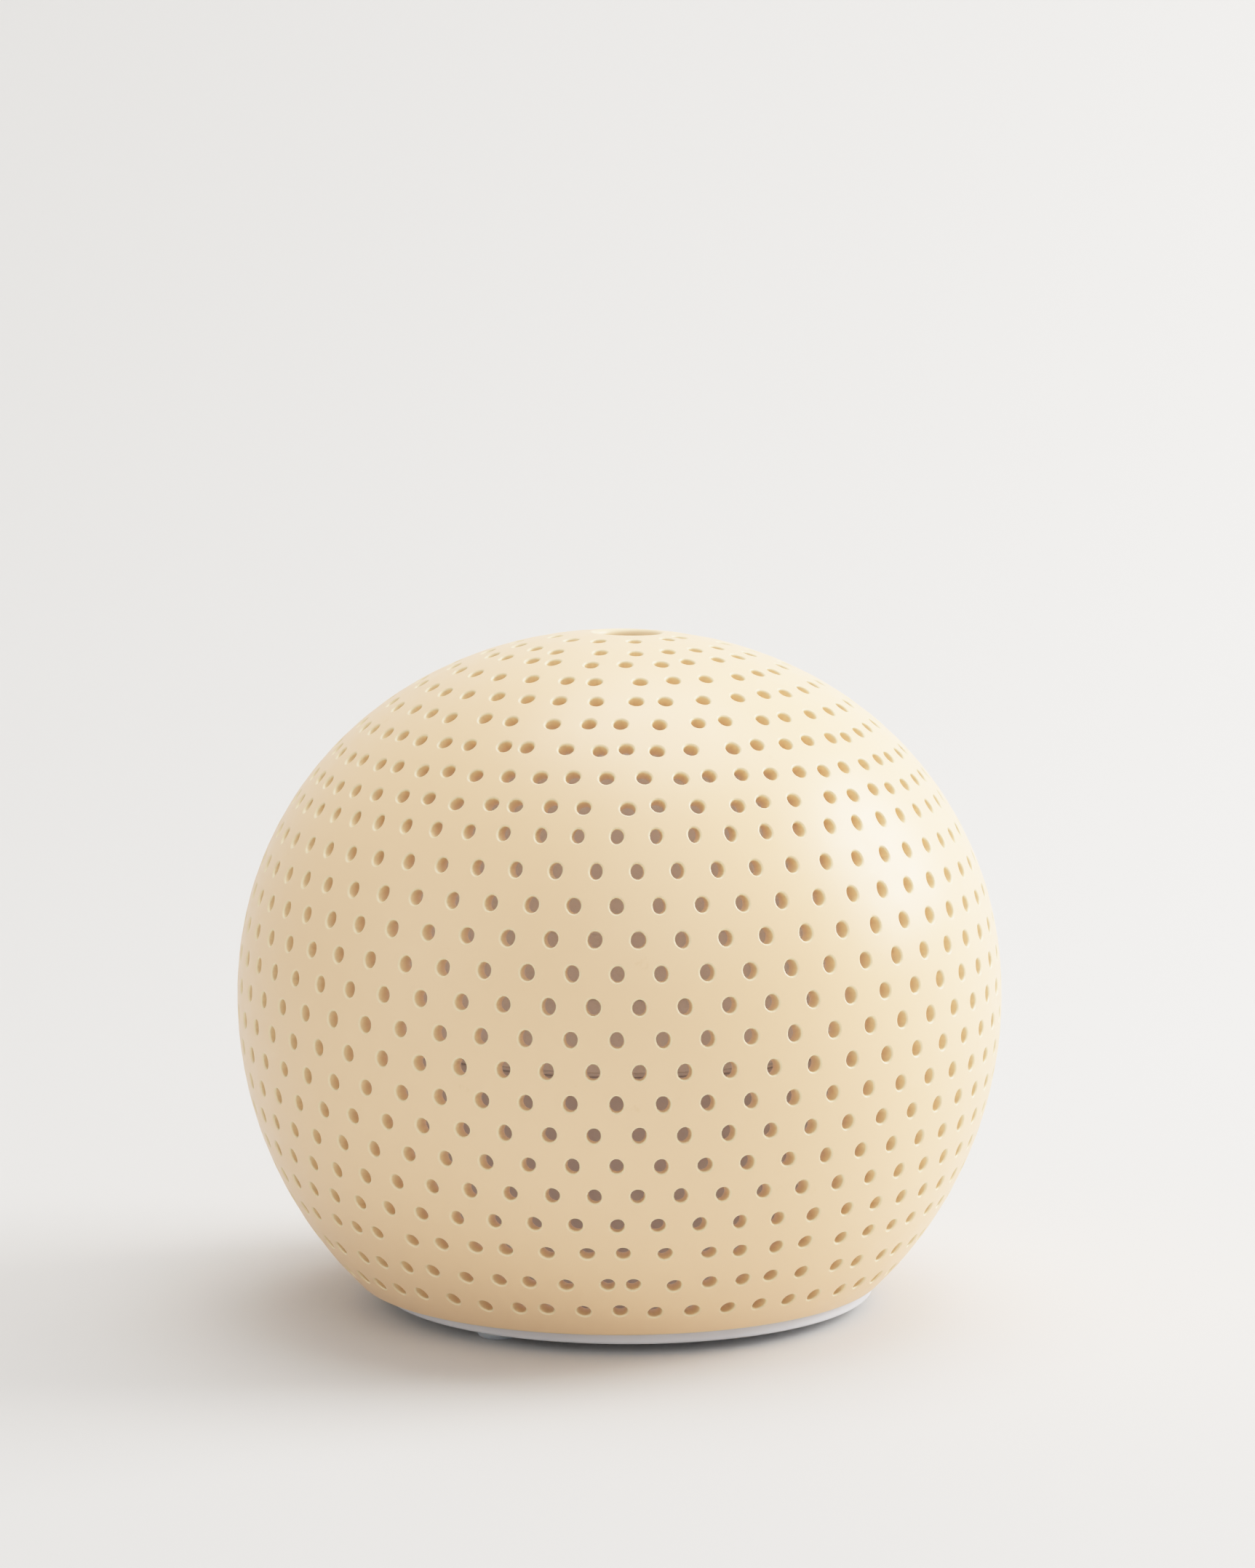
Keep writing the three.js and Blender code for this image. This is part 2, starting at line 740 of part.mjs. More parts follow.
// A funnel over the fan that leans towards the chimney's foot.
function airDuct() {
  const wide = fanHalf - 0.2;
  const coneLow = fanTop + 1.4;
  const coneTop = clampLow - 1;
  const funnel = toGeometry(turned([
    [wide - ductWall, fanTop],
    [wide, fanTop],
    [wide, coneLow],
    [ductNeck, coneTop],
    [ductNeck, floorLow],
    [ductNeck - ductWall, floorLow],
    [ductNeck - ductWall, coneTop],
    [wide - ductWall, coneLow],
  ], middleFacets));
  const place = funnel.getAttribute("position");
  for (let i = 0; i < place.count; i += 1) {
    const rise = THREE.MathUtils.clamp((place.getZ(i) - coneLow) / (coneTop - coneLow), 0, 1);
    place.setY(i, place.getY(i) + THREE.MathUtils.lerp(fanY, chimneyY, rise));
  }
  return solid(funnel);
}

// ---------------------------------------------------------------- circuit board

function mainBoard() {
  const shape = new THREE.Shape();
  shape.moveTo(-boardHalfWidth, boardFront);
  shape.lineTo(boardHalfWidth, boardFront);
  shape.lineTo(boardHalfWidth, boardRear - boardCorner);
  shape.lineTo(boardHalfWidth - boardCorner, boardRear);
  shape.lineTo(boardCorner - boardHalfWidth, boardRear);
  shape.lineTo(-boardHalfWidth, boardRear - boardCorner);
  const holes = boardPlaces.map(([x, y]) =>
    moved(rod(smallShank + screwGap, boardLow - 1, boardTop + 1, tinyFacets), x, y),
  );
  return cutBy(slab(shape, boardLow, boardTop), ...holes);
}

function dcJack() {
  const front = panelInner - slipGap;
  const bodyBlock = moved(
    block(jackWidth, jackDepth, boardTop, boardTop + jackHeight),
    0,
    front - jackDepth / 2,
  );
  const barrel = moved(rodAlongY(jackBarrel, front - 1, panelDistance), 0, 0, controlLevel);
  const boreEnd = panelDistance - jackBoreDepth;
  const bore = moved(rodAlongY(jackBore, boreEnd, panelDistance + 1), 0, 0, controlLevel);
  const pin = moved(rodAlongY(jackPin, boreEnd - 1, panelDistance - 1, tinyFacets), 0, 0, controlLevel);
  return cutBy(bodyBlock.add(barrel), bore).add(pin);
}

const buttonBack = panelInner - 0.2 - buttonFlangeThickness;
const switchFront = buttonBack - 1;
const plungerReach = 1; // into the switch at rest

function tactSwitch(side) {
  const plungerHole = moved(
    rodAlongY(
      plungerRadius + 0.2,
      switchFront - plungerReach - buttonTravel - 0.4,
      switchFront + 1,
    ),
    0,
    0,
    controlLevel,
  );
  const body = moved(
    block(switchWidth, switchDepth, boardTop, boardTop + switchHeight),
    0,
    switchFront - switchDepth / 2,
  );
  return moved(cutBy(body, plungerHole), side * buttonDistance, 0);
}

function pushButton(side) {
  const cap = rodAlongY(buttonRadius, buttonBack, panelDistance + buttonProud);
  const flangeRadius = buttonRadius + buttonFlange;
  const flange = rodAlongY(flangeRadius, buttonBack, buttonBack + buttonFlangeThickness);
  const plunger = rodAlongY(plungerRadius, switchFront - plungerReach, buttonBack + 0.5);
  return moved(joined(cap, flange, plunger), side * buttonDistance, 0, controlLevel);
}

function heatSink() {
  const top = boardTop + heatSinkHeight;
  const fins = [-6, -3, 0, 3, 6].map((x) => moved(block(1, 6, boardTop, top), x, 0));
  return moved(joined(block(13, 6, boardTop, boardTop + 1.6), ...fins), 0, boardFront + 6);
}

function inductor() {
  return moved(turnedSmall([
    [0, boardTop],
    [5, boardTop],
    [5, boardTop + 1],
    [3.9, boardTop + 1.6],
    [3.9, boardTop + 5],
    [5, boardTop + 5.6],
    [5, boardTop + 6.6],
    [0, boardTop + 6.6],
  ]), -16, partsY);
}

function capacitor() {
  return moved(turnedSmall([
    [0, boardTop],
    [3.6, boardTop],
    [4, boardTop + 0.5],
    [3.7, boardTop + 1.2],
    [4, boardTop + 1.8],
    [4, boardTop + 8.2],
    [3.5, boardTop + 8.6],
    [0, boardTop + 8.6],
  ]), 15, partsY);
}

const driverChip = () => moved(block(5, 4, boardTop, boardTop + 1.5), 0, boardFront + 12);

// A lead plug on the board, and the lead that leaves its top.
const leadPlugHeight = 5;
const leadPlug = (x, y) => moved(block(5.2, 4, boardTop, boardTop + leadPlugHeight), x, y);

function lead(points) {
  const path = new THREE.CatmullRomCurve3(points.map((point) => new THREE.Vector3(...point)));
  const section = new THREE.Shape().absarc(0, 0, leadRadius, 0, 2 * Math.PI);
  return solid(new THREE.ExtrudeGeometry(section, {
    steps: 14,
    extrudePath: path,
    curveSegments: 3,
    bevelEnabled: false,
  }));
}

const fanPlugPlace = [14, boardFront + 4];
const mistPlugPlace = [-14, boardFront + 4];

function fanLead() {
  const [x, y] = fanPlugPlace;
  const high = boardTop + leadPlugHeight + slipGap;
  const fanRear = fanY + fanHalf + slipGap;
  return lead([
    [x, y, high],
    [x, y, high + 1.2],
    [x - 1, y - 2.6, high + 2.4],
    [x - 3.2, y - 6, high - 0.6],
    [x - 4, fanRear + 1.6, fanTop - 3],
    [x - 4, fanRear, fanTop - 3],
  ]);
}

function mistLead() {
  const [x, y] = mistPlugPlace;
  const high = boardTop + leadPlugHeight + slipGap;
  const discReach = discRadius / 2;
  const overHeatSink = boardTop + heatSinkHeight + leadRadius + slipGap;
  return lead([
    [x, y, high],
    [x, y, high + 0.8],
    [x + 3.4, y - 0.8, overHeatSink],
    [x + 7.4, y - 2.2, overHeatSink + 0.8],
    [-discReach, mistY + 1.5, sealLow - 1.8],
    [-discReach, mistY + 1, discLow - slipGap],
  ]);
}

// ---------------------------------------------------------------- light ring

const lightAngles = Array.from({ length: lightCount }, (_, i) => (360 * i) / lightCount);
const lightBoardTop = deckLow - lightBoardDrop;

function lightBoard() {
  return ring(lightBoardInner, lightBoardOuter, lightBoardTop - boardThickness, lightBoardTop);
}

function lightEmitter(angle) {
  const chip = block(lightSize, lightSize, lightBoardTop, lightBoardTop + lightHeight);
  return moved(chip, ...onRing(lightRing, angle));
}

// ---------------------------------------------------------------- screws

// A pan-head screw. The head sits on the level seat and the shank ends at the level tip, above or
// below it.
function screw(shank, head, headHeight, seat, tip) {
  const back = seat + Math.sign(seat - tip) * headHeight;
  return turned([
    [0, back],
    [head * 0.8, back],
    [head, seat],
    [shank, seat],
    [shank, tip],
    [0, tip],
  ], tinyFacets);
}

// ---------------------------------------------------------------- assembly

addPiece(diffuser, "ceramic_cover", ceramicCover(), materials.ceramic);

addPiece(unit, "base_plate", basePlate(), materials.whitePlastic);
const footNames = ["front_left", "right", "rear"];
footPlaces.forEach(([x, y], i) => {
  addPiece(unit, `foot_${footNames[i]}`, moved(foot(), x, y), materials.silicone);
});
const labelTop = plateLow + labelSeat;
const ratingLabel = moved(block(labelWidth, labelDepth, labelTop - labelThickness, labelTop), 0, labelY);
addPiece(unit, "rating_label", ratingLabel, materials.label);

addPiece(unit, "housing", housing(), materials.whitePlastic);
screwPlaces.forEach(([x, y], i) => {
  const seat = plateLow + counterbore;
  const body = screw(screwShank, screwHead, screwHeadHeight, seat, seat + screwLength);
  addPiece(unit, `housing_screw_${i + 1}`, moved(body, x, y), materials.steel);
});

const gasketOuter = tankFlangeRadius - 0.4;
const gasket = ring(gasketOuter - gasketWidth, gasketOuter, deckTop, flangeLow);
addPiece(unit, "tank_gasket", gasket, materials.silicone);
addPiece(unit, "water_tank", waterTank(), materials.tankPlastic);
addPiece(unit, "chimney_cap", chimneyCap(), materials.whitePlastic);
addPiece(unit, "tank_lid", tankLid(), materials.tankPlastic);

const disc = rod(discRadius, discLow, discLow + discThickness, middleFacets);
addPiece(unit, "transducer_disc", moved(disc, 0, mistY), materials.steel);
addPiece(unit, "transducer_seal", transducerSeal(), materials.silicone);
addPiece(unit, "transducer_clamp", transducerClamp(), materials.whitePlastic);
earPlaces.forEach(([x, y], i) => {
  const body = screw(smallShank, smallHead, smallHeadHeight, clampLow, floorTop - 1.2);
  addPiece(unit, `transducer_screw_${i + 1}`, moved(body, x, y), materials.steel);
});

addPiece(unit, "fan_frame", fanFrame(), materials.blackPlastic);
addPiece(unit, "fan_rotor", fanRotor(), materials.blackPlastic);
addPiece(unit, "air_duct", airDuct(), materials.whitePlastic);
fanScrewPlaces.forEach(([x, y], i) => {
  const body = screw(smallShank, smallHead, smallHeadHeight, fanTop, plateTop - 0.6);
  addPiece(unit, `fan_screw_${i + 1}`, moved(body, x, y), materials.steel);
});

addPiece(unit, "main_board", mainBoard(), materials.board);
boardPlaces.forEach(([x, y], i) => {
  const body = screw(smallShank, smallHead, smallHeadHeight, boardTop, plateTop - 0.6);
  addPiece(unit, `board_screw_${i + 1}`, moved(body, x, y), materials.steel);
});
addPiece(unit, "dc_jack", dcJack(), materials.blackPlastic);
addPiece(unit, "mist_switch", tactSwitch(-1), materials.blackPlastic);
addPiece(unit, "light_switch", tactSwitch(1), materials.blackPlastic);
addPiece(unit, "mist_button", pushButton(-1), materials.whitePlastic);
addPiece(unit, "light_button", pushButton(1), materials.whitePlastic);
addPiece(unit, "heat_sink", heatSink(), materials.aluminium);
addPiece(unit, "inductor", inductor(), materials.ferrite);
addPiece(unit, "capacitor", capacitor(), materials.capacitorSleeve);
addPiece(unit, "driver_chip", driverChip(), materials.blackPlastic);
addPiece(unit, "fan_plug", leadPlug(...fanPlugPlace), materials.whiteBoard);
addPiece(unit, "mist_plug", leadPlug(...mistPlugPlace), materials.whiteBoard);
addPiece(unit, "fan_lead", fanLead(), materials.blackLead);
addPiece(unit, "mist_lead", mistLead(), materials.redLead);

addPiece(unit, "light_board", lightBoard(), materials.whiteBoard);
lightAngles.forEach((angle, i) => {
  addPiece(unit, `light_${i + 1}`, lightEmitter(angle), materials.ledLens);
});

export default diffuser;
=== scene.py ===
"""Looks for the ultrasonic aroma diffuser with a pierced ceramic globe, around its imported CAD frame."""
import json
import math

import bmesh
import bpy
import numpy as np
from mathutils import Matrix, Vector
from mathutils.geometry import delaunay_2d_cdt


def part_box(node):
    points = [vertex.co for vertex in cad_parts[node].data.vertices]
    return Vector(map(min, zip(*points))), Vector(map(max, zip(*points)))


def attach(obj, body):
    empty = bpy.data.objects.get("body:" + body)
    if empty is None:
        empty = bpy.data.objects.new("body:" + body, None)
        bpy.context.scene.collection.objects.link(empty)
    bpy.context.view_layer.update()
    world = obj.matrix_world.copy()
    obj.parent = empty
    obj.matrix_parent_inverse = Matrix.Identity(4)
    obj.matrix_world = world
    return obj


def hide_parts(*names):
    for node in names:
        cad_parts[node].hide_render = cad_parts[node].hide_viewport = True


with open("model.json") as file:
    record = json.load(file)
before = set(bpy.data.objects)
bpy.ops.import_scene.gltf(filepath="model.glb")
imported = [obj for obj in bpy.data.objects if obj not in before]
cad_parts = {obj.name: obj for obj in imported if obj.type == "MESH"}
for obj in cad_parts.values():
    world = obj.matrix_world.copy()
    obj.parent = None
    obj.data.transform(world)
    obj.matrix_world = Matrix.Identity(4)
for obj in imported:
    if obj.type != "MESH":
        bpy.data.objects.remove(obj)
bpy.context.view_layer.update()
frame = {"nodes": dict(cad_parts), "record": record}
NODES = frame["nodes"]

MM = 0.001
SEED = 11

# ---------------------------------------------------------------- sizes, in millimetres, as in the CAD part

COVER_RADIUS = 75.0
COVER_CROWN = 71.7
COVER_POWER = 2.06
COVER_BELLY = 77.4
COVER_LEVEL = 61.0
COVER_WALL = 3.5
RIM_ROUND = 1.8
OUTLET_RADIUS = 6.3
ARCH_WIDTH = 46.0
ARCH_HEIGHT = 25.0
ARCH_CORNER = 12.0
UNIT_SHIFT = 1.5
PLATE_LOW = 2.2
PLATE_TOP = 4.6
HOUSING_WALL = 2.0
PANEL_INNER = 35.978
TANK_RADIUS = 30.3
SLIP = 0.3


def new_object(name, data):
    """An object in the scene, from a mesh, a light or a camera."""
    piece = bpy.data.objects.new(name, data)
    bpy.context.scene.collection.objects.link(piece)
    return piece


# ---------------------------------------------------------------- camera

CAMERA_ELEVATION = math.radians(9.77)
CAMERA_DISTANCE = 0.929
CAMERA_PITCH = math.radians(-7.23)
CAMERA_YAW = math.radians(-0.098)
CAMERA_LENS = 108.17
CAMERA_SENSOR = 36.0


def make_camera():
    """Looks at the globe from the front and a little above, as the photograph does."""
    data = bpy.data.cameras.new("camera")
    data.lens = CAMERA_LENS
    data.sensor_width = CAMERA_SENSOR
    camera = new_object("camera", data)
    camera.location = (
        0.0,
        -CAMERA_DISTANCE * math.cos(CAMERA_ELEVATION),
        COVER_LEVEL * MM + CAMERA_DISTANCE * math.sin(CAMERA_ELEVATION),
    )
    camera.rotation_euler = (math.pi / 2 + CAMERA_PITCH, 0.0, CAMERA_YAW)
    bpy.context.scene.camera = camera


make_camera()


def applied(piece):
    """Replaces a piece's mesh by its mesh after modifiers, and removes the modifiers."""
    graph = bpy.context.evaluated_depsgraph_get()
    mesh = bpy.data.meshes.new_from_object(piece.evaluated_get(graph), depsgraph=graph)
    piece.modifiers.clear()
    piece.data = mesh
    mesh.name = piece.name
    return piece


# ---------------------------------------------------------------- pierced ceramic globe
# Worked in millimetres about the middle of the globe. Angles run from the front towards +X, and s is
# the way along the outer outline from the crown downwards.


def globe_outline(samples, inset=0.0):
    """Radius and level of the globe's outline, from the crown to below the rim."""
    lowest = math.asin((PLATE_TOP - 2.0 - COVER_LEVEL) / (COVER_BELLY - inset))
    turn = np.linspace(math.pi / 2, lowest, samples)
    power = 2 / COVER_POWER
    cosine = np.maximum(np.cos(turn), 0.0)
    sine = np.sin(turn)
    upper = turn > 0
    radius = (COVER_RADIUS - inset) * np.where(upper, cosine**power, cosine)
    up = (COVER_CROWN - inset) * np.abs(sine) ** power
    level = np.where(upper, up, (COVER_BELLY - inset) * sine)
    return radius, level


OUTLINE_SAMPLES = 8001
OUTLINE_R, OUTLINE_Z = globe_outline(OUTLINE_SAMPLES)
STEP = np.hypot(np.diff(OUTLINE_R), np.diff(OUTLINE_Z))
OUTLINE_S = np.concatenate([[0.0], np.cumsum(STEP)])
SLOPE_R = np.gradient(OUTLINE_R, OUTLINE_S)
SLOPE_Z = np.gradient(OUTLINE_Z, OUTLINE_S)


def map_scale():
    """Log of the radius in a flat map of the globe that keeps angles, for each sample of the outline."""
    first = int(np.searchsorted(OUTLINE_R[:OUTLINE_SAMPLES // 2], 1.0))
    middle = (OUTLINE_R[1:] + OUTLINE_R[:-1]) / 2
    growth = np.where(np.arange(len(STEP)) >= first, STEP / middle, 0.0)
    log_map = np.concatenate([[0.0], np.cumsum(growth)]) + math.log(OUTLINE_R[first])
    log_map[:first] = np.log(np.maximum(OUTLINE_R[:first], 1e-6))
    return log_map


LOG_MAP = map_scale()


def s_at_level(level):
    """The way along the outline at a level."""
    return np.interp(-np.asarray(level, float), -OUTLINE_Z, OUTLINE_S)


def s_at_crown_radius(radius):
    """The way along the outline at a radius of the crown."""
    crown = OUTLINE_Z > 10
    return np.interp(radius, OUTLINE_R[crown], OUTLINE_S[crown])


def on_globe(s, angle, depth=0.0):
    """Points and outward normals on the globe, moved in from it by depth along the normal."""
    radius = np.interp(s, OUTLINE_S, OUTLINE_R)
    level = np.interp(s, OUTLINE_S, OUTLINE_Z)
    out = -np.interp(s, OUTLINE_S, SLOPE_Z)
    up = np.interp(s, OUTLINE_S, SLOPE_R)
    size = np.hypot(out, up)
    out, up = out / size, up / size
    east = np.stack([np.sin(angle), -np.cos(angle)], -1)
    flat = (radius - depth * out)[..., None] * east
    points = np.concatenate([flat, (level - depth * up)[..., None]], -1)
    normals = np.concatenate([out[..., None] * east, up[..., None]], -1)
    return points, normals


def bearing(points):
    """Angle of points round the globe, from the front towards +X."""
    return np.arctan2(points[:, 0], -points[:, 1])


def on_map(s, angle):
    """Places in the flat map."""
    size = np.exp(np.interp(s, OUTLINE_S, LOG_MAP))
    return np.stack([size * np.sin(angle), -size * np.cos(angle)], -1)


def wall_radius(level, inset):
    """Radius of the globe's outline, moved in by inset, at a level."""
    crown = np.abs(level) / (COVER_CROWN - inset)
    belly = np.abs(level) / (COVER_BELLY - inset)
    upper = np.maximum(1 - crown**COVER_POWER, 0.0) ** (1 / COVER_POWER)
    lower = np.sqrt(np.maximum(1 - belly**2, 0.0))
    return (COVER_RADIUS - inset) * np.where(level > 0, upper, lower)


def inner_normals(points):
    """Normals of the inner face, which point to the inside."""
    z = points[:, 2]
    r = np.hypot(points[:, 0], points[:, 1])
    size = COVER_RADIUS - COVER_WALL
    height = np.where(z > 0, COVER_CROWN, COVER_BELLY) - COVER_WALL
    power = np.where(z > 0, COVER_POWER, 2.0)
    out = (np.maximum(r, 1e-6) / size) ** (power - 1) / size
    up = np.sign(z) * (np.abs(z) / height) ** (power - 1) / height
    flat = -out[:, None] * points[:, :2] / np.maximum(r, 1e-6)[:, None]
    normals = np.concatenate([flat, -up[:, None]], 1)
    return normals / np.linalg.norm(normals, axis=1)[:, None]


LONGEST_BORE = 14.0
HALVINGS = 36


def through_wall(points, direction):
    """Where lines from points along direction, into the globe, meet its inner face."""
    near = np.zeros(len(points))
    far = np.full(len(points), LONGEST_BORE)
    for _ in range(HALVINGS):
        middle = (near + far) / 2
        trial = points + middle[:, None] * direction
        outside = np.hypot(trial[:, 0], trial[:, 1]) > wall_radius(trial[:, 2], COVER_WALL)
        near = np.where(outside, middle, near)
        far = np.where(outside, far, middle)
    return points + far[:, None] * direction


# Rows of holes. The even rows of the middle are all drilled at one slight tilt. The rows above and
# below them each have level, count, angle of the first hole and lean, which is the share of the
# wall's own tilt that the hole's axis has.
EVEN_ROWS = 13
EVEN_TOP = 39.93
EVEN_PITCH = 5.964
EVEN_COUNT = 56
EVEN_TILT = math.radians(6.0)
EVEN_STARTS = (-0.4, 2.78)
EVEN_SCATTER = 0.12
TOP_WIDTH = 2.3
WIDTH_GROWTH = 0.13
WIDEST = 2.66
TALLEST = 3.1
HEIGHT_LOSS = 0.2
HEIGHT_LOSS_START = 0.25
UPPER_ROWS = (
    (44.7, 56, 1.4, 0.60), (49.4, 55, 4.0, 0.57), (54.15, 50, 2.1, 0.69), (58.4, 40, 0.4, 0.75),
    (62.05, 35, 3.6, 0.8), (65.2, 29, 5.5, 0.8), (67.7, 24, 2.4, 0.85), (69.3, 18, 7.0, 0.9),
    (70.8, 12, 12.0, 0.95),
)
LOWER_ROWS = ((-37.5, 57, 1.0, 0.17), (-44.45, 57, 3.3, 0.13), (-50.6, 53, 0.2, 0.1))
OUTER_WIDTH = 2.75
LOWER_HEIGHT = 2.65
LOWER_GROWTH = 0.035
HOLE_SIDES = 16
HOLE_ROUND = 0.42
HALF_ROUND = 0.29 * HOLE_ROUND
OVAL = 0.022
THREE_LOBED = 0.016
CLOSEST_HOLES = 3.85
SIDE_SCATTER = 0.6
LIFT_SCATTER = 0.26
MOST_LIFT = 0.4
SIZE_SCATTER = 0.05
MOST_SIZE = 0.12
ARCH_CLEARANCE = 2.2
HOLE_REACH = 1.4


def wall_tilt(level):
    """How far the wall faces upwards at a level."""
    _, outward = on_globe(s_at_level([level]), np.zeros(1))
    return math.asin(outward[0, 2])


def hole_rows():
    """Level, count, first angle, width, height, unevenness and tilt of the axis, for each row."""
    for i in range(EVEN_ROWS):
        share = i / (EVEN_ROWS - 1)
        width = min(TOP_WIDTH + WIDTH_GROWTH * i, WIDEST)
        loss = max(0.0, share - HEIGHT_LOSS_START) / (1 - HEIGHT_LOSS_START)
        level = EVEN_TOP - EVEN_PITCH * i
        height = TALLEST - HEIGHT_LOSS * loss
        yield level, EVEN_COUNT, EVEN_STARTS[i % 2], width, height, EVEN_SCATTER, EVEN_TILT
    for level, count, first, lean in UPPER_ROWS:
        yield level, count, first, OUTER_WIDTH, OUTER_WIDTH, 1.0, lean * wall_tilt(level)
    for level, count, first, lean in LOWER_ROWS:
        height = LOWER_HEIGHT + LOWER_GROWTH * (LOWER_ROWS[0][0] - level)
        yield level, count, first, OUTER_WIDTH, height, 1.0, lean * wall_tilt(level)


def arch_half_width(level, grown):
    """Half the width of the rear opening at levels above the rim, with its edge moved out by grown."""
    half = ARCH_WIDTH / 2 + grown
    top = ARCH_HEIGHT + grown
    corner = ARCH_CORNER + grown
    rise = np.maximum(level - (top - corner), 0.0)
    reach = half - corner + np.sqrt(np.maximum(corner**2 - rise**2, 0.0))
    return np.where(level > top, 0.0, reach)


def place_holes():
    """Every hole, as rows of s, angle, width, height and tilt."""
    random = np.random.default_rng(SEED)
    found = []
    for level, count, first, width, height, uneven, tilt in hole_rows():
        around = wall_radius(np.array(level), 0.0)
        index = np.arange(count)
        room = (2 * math.pi * around / count - CLOSEST_HOLES) / 2
        along = random.normal(0.0, SIDE_SCATTER * uneven, count).clip(-room, room)
        lift = random.normal(0.0, LIFT_SCATTER * uneven, count).clip(-MOST_LIFT, MOST_LIFT)
        wide = random.normal(0.0, SIZE_SCATTER, count).clip(-MOST_SIZE, MOST_SIZE)
        tall = random.normal(0.0, SIZE_SCATTER, count).clip(-MOST_SIZE, MOST_SIZE)
        angle = np.radians(first) + 2 * math.pi * index / count + along / around
        s = s_at_level(level) + lift
        rows = [s, angle, width + wide, height + tall, np.full(count, tilt)]
        found.append(np.stack(rows, 1))
    holes = np.concatenate(found)
    points, _ = on_globe(holes[:, 0], holes[:, 1])
    above_rim = points[:, 2] + COVER_LEVEL - PLATE_TOP
    reach = arch_half_width(above_rim, ARCH_CLEARANCE + HOLE_REACH)
    in_arch = (points[:, 1] > 0) & (np.abs(points[:, 0]) < reach)
    return holes[~in_arch]


LIP_ROUND = 1.1
LIP_SIDES = 56
ROUND_STEPS = 4
ARCH_ROUND = 1.0
INNER_ROUND = 0.5


def hole_rings(holes):
    """Four rings of points for each hole: on the face, half round, start of the bore, inner face."""
    turn = (np.arange(HOLE_SIDES) + 0.5) * 2 * math.pi / HOLE_SIDES
    random = np.random.default_rng(SEED + 1)
    phase = random.uniform(0, 2 * math.pi, (len(holes), 2, 1))
    wobble = 1 + OVAL * np.cos(2 * turn + phase[:, 0]) + THREE_LOBED * np.cos(3 * turn + phase[:, 1])
    middle_s, middle_a = holes[:, 0:1], holes[:, 1:2]
    rings = []
    for grown, depth in ((HOLE_ROUND, 0.0), (HALF_ROUND, HALF_ROUND), (0.0, HOLE_ROUND)):
        across = (holes[:, 2:3] / 2 * wobble + grown) * np.cos(turn)
        down = (holes[:, 3:4] / 2 * wobble + grown) * np.sin(turn)
        s = middle_s + down
        around = np.interp(s, OUTLINE_S, OUTLINE_R)
        rings.append(on_globe(s, middle_a + across / around, depth))
    flat, tilt = np.cos(holes[:, 4]), holes[:, 4]
    drill = -np.stack([flat * np.sin(holes[:, 1]), -flat * np.cos(holes[:, 1]), np.sin(tilt)], -1)
    drill = np.repeat(drill[:, None], HOLE_SIDES, 1)
    start = rings[2][0].reshape(-1, 3)
    end = through_wall(start, drill.reshape(-1, 3))
    return rings, drill, end.reshape(len(holes), HOLE_SIDES, 3)


def outlet_rings():
    """Rings of the round outlet: rounded lip, then straight down to the inner face."""
    turn = np.arange(LIP_SIDES) * 2 * math.pi / LIP_SIDES
    rings = []
    for k in range(ROUND_STEPS + 1):
        lean = math.pi / 2 * k / ROUND_STEPS
        radius = OUTLET_RADIUS + LIP_ROUND * (1 - math.sin(lean))
        x = UNIT_SHIFT + radius * np.sin(turn)
        y = -radius * np.cos(turn)
        depth = LIP_ROUND * (1 - math.cos(lean))
        s = s_at_crown_radius(np.hypot(x, y))
        points, _ = on_globe(s, np.arctan2(x, -y))
        points[:, 0] = x
        points[:, 1] = y
        points[:, 2] -= depth
        rings.append(points)
    bore = rings[-1].copy()
    bore[:, 2] = through_crown(bore)[:, 2] + INNER_ROUND
    rings.append(bore)
    grown = bore - [UNIT_SHIFT, 0, 0]
    grown[:, :2] *= (OUTLET_RADIUS + INNER_ROUND) / OUTLET_RADIUS
    rings.append(through_crown(grown + [UNIT_SHIFT, 0, 0]))
    return rings


def through_crown(points):
    """The same points moved straight to the inner face of the crown."""
    radius = np.hypot(points[:, 0], points[:, 1]) / (COVER_RADIUS - COVER_WALL)
    rise = (1 - radius**COVER_POWER) ** (1 / COVER_POWER)
    moved = points.copy()
    moved[:, 2] = (COVER_CROWN - COVER_WALL) * rise
    return moved


def rim_path():
    """The rim's cross-section from the outer face, round its edge and flat underside, to the inner face."""
    low = PLATE_TOP - COVER_LEVEL
    round_level = low + RIM_ROUND
    share = round_level / (COVER_BELLY - RIM_ROUND)
    inset_radius = (COVER_RADIUS - RIM_ROUND) * math.sqrt(1 - share**2)
    lean = math.atan2(round_level / COVER_BELLY**2, inset_radius / COVER_RADIUS**2)
    path = []
    for k in range(ROUND_STEPS + 1):
        turn = lean + (-math.pi / 2 - lean) * k / ROUND_STEPS
        path.append((inset_radius + RIM_ROUND * math.cos(turn), round_level + RIM_ROUND * math.sin(turn)))
    opening_level = low + RIM_ROUND / 3
    opening = float(wall_radius(np.array(opening_level), COVER_WALL))
    path.append((opening + RIM_ROUND / 3, low))
    path.append((opening, opening_level))
    return path


RIM_SIDES = 176
ARCH_STEPS = 15
ARCH_SIDE_STEPS = 9
ARCH_TOP_STEPS = 8


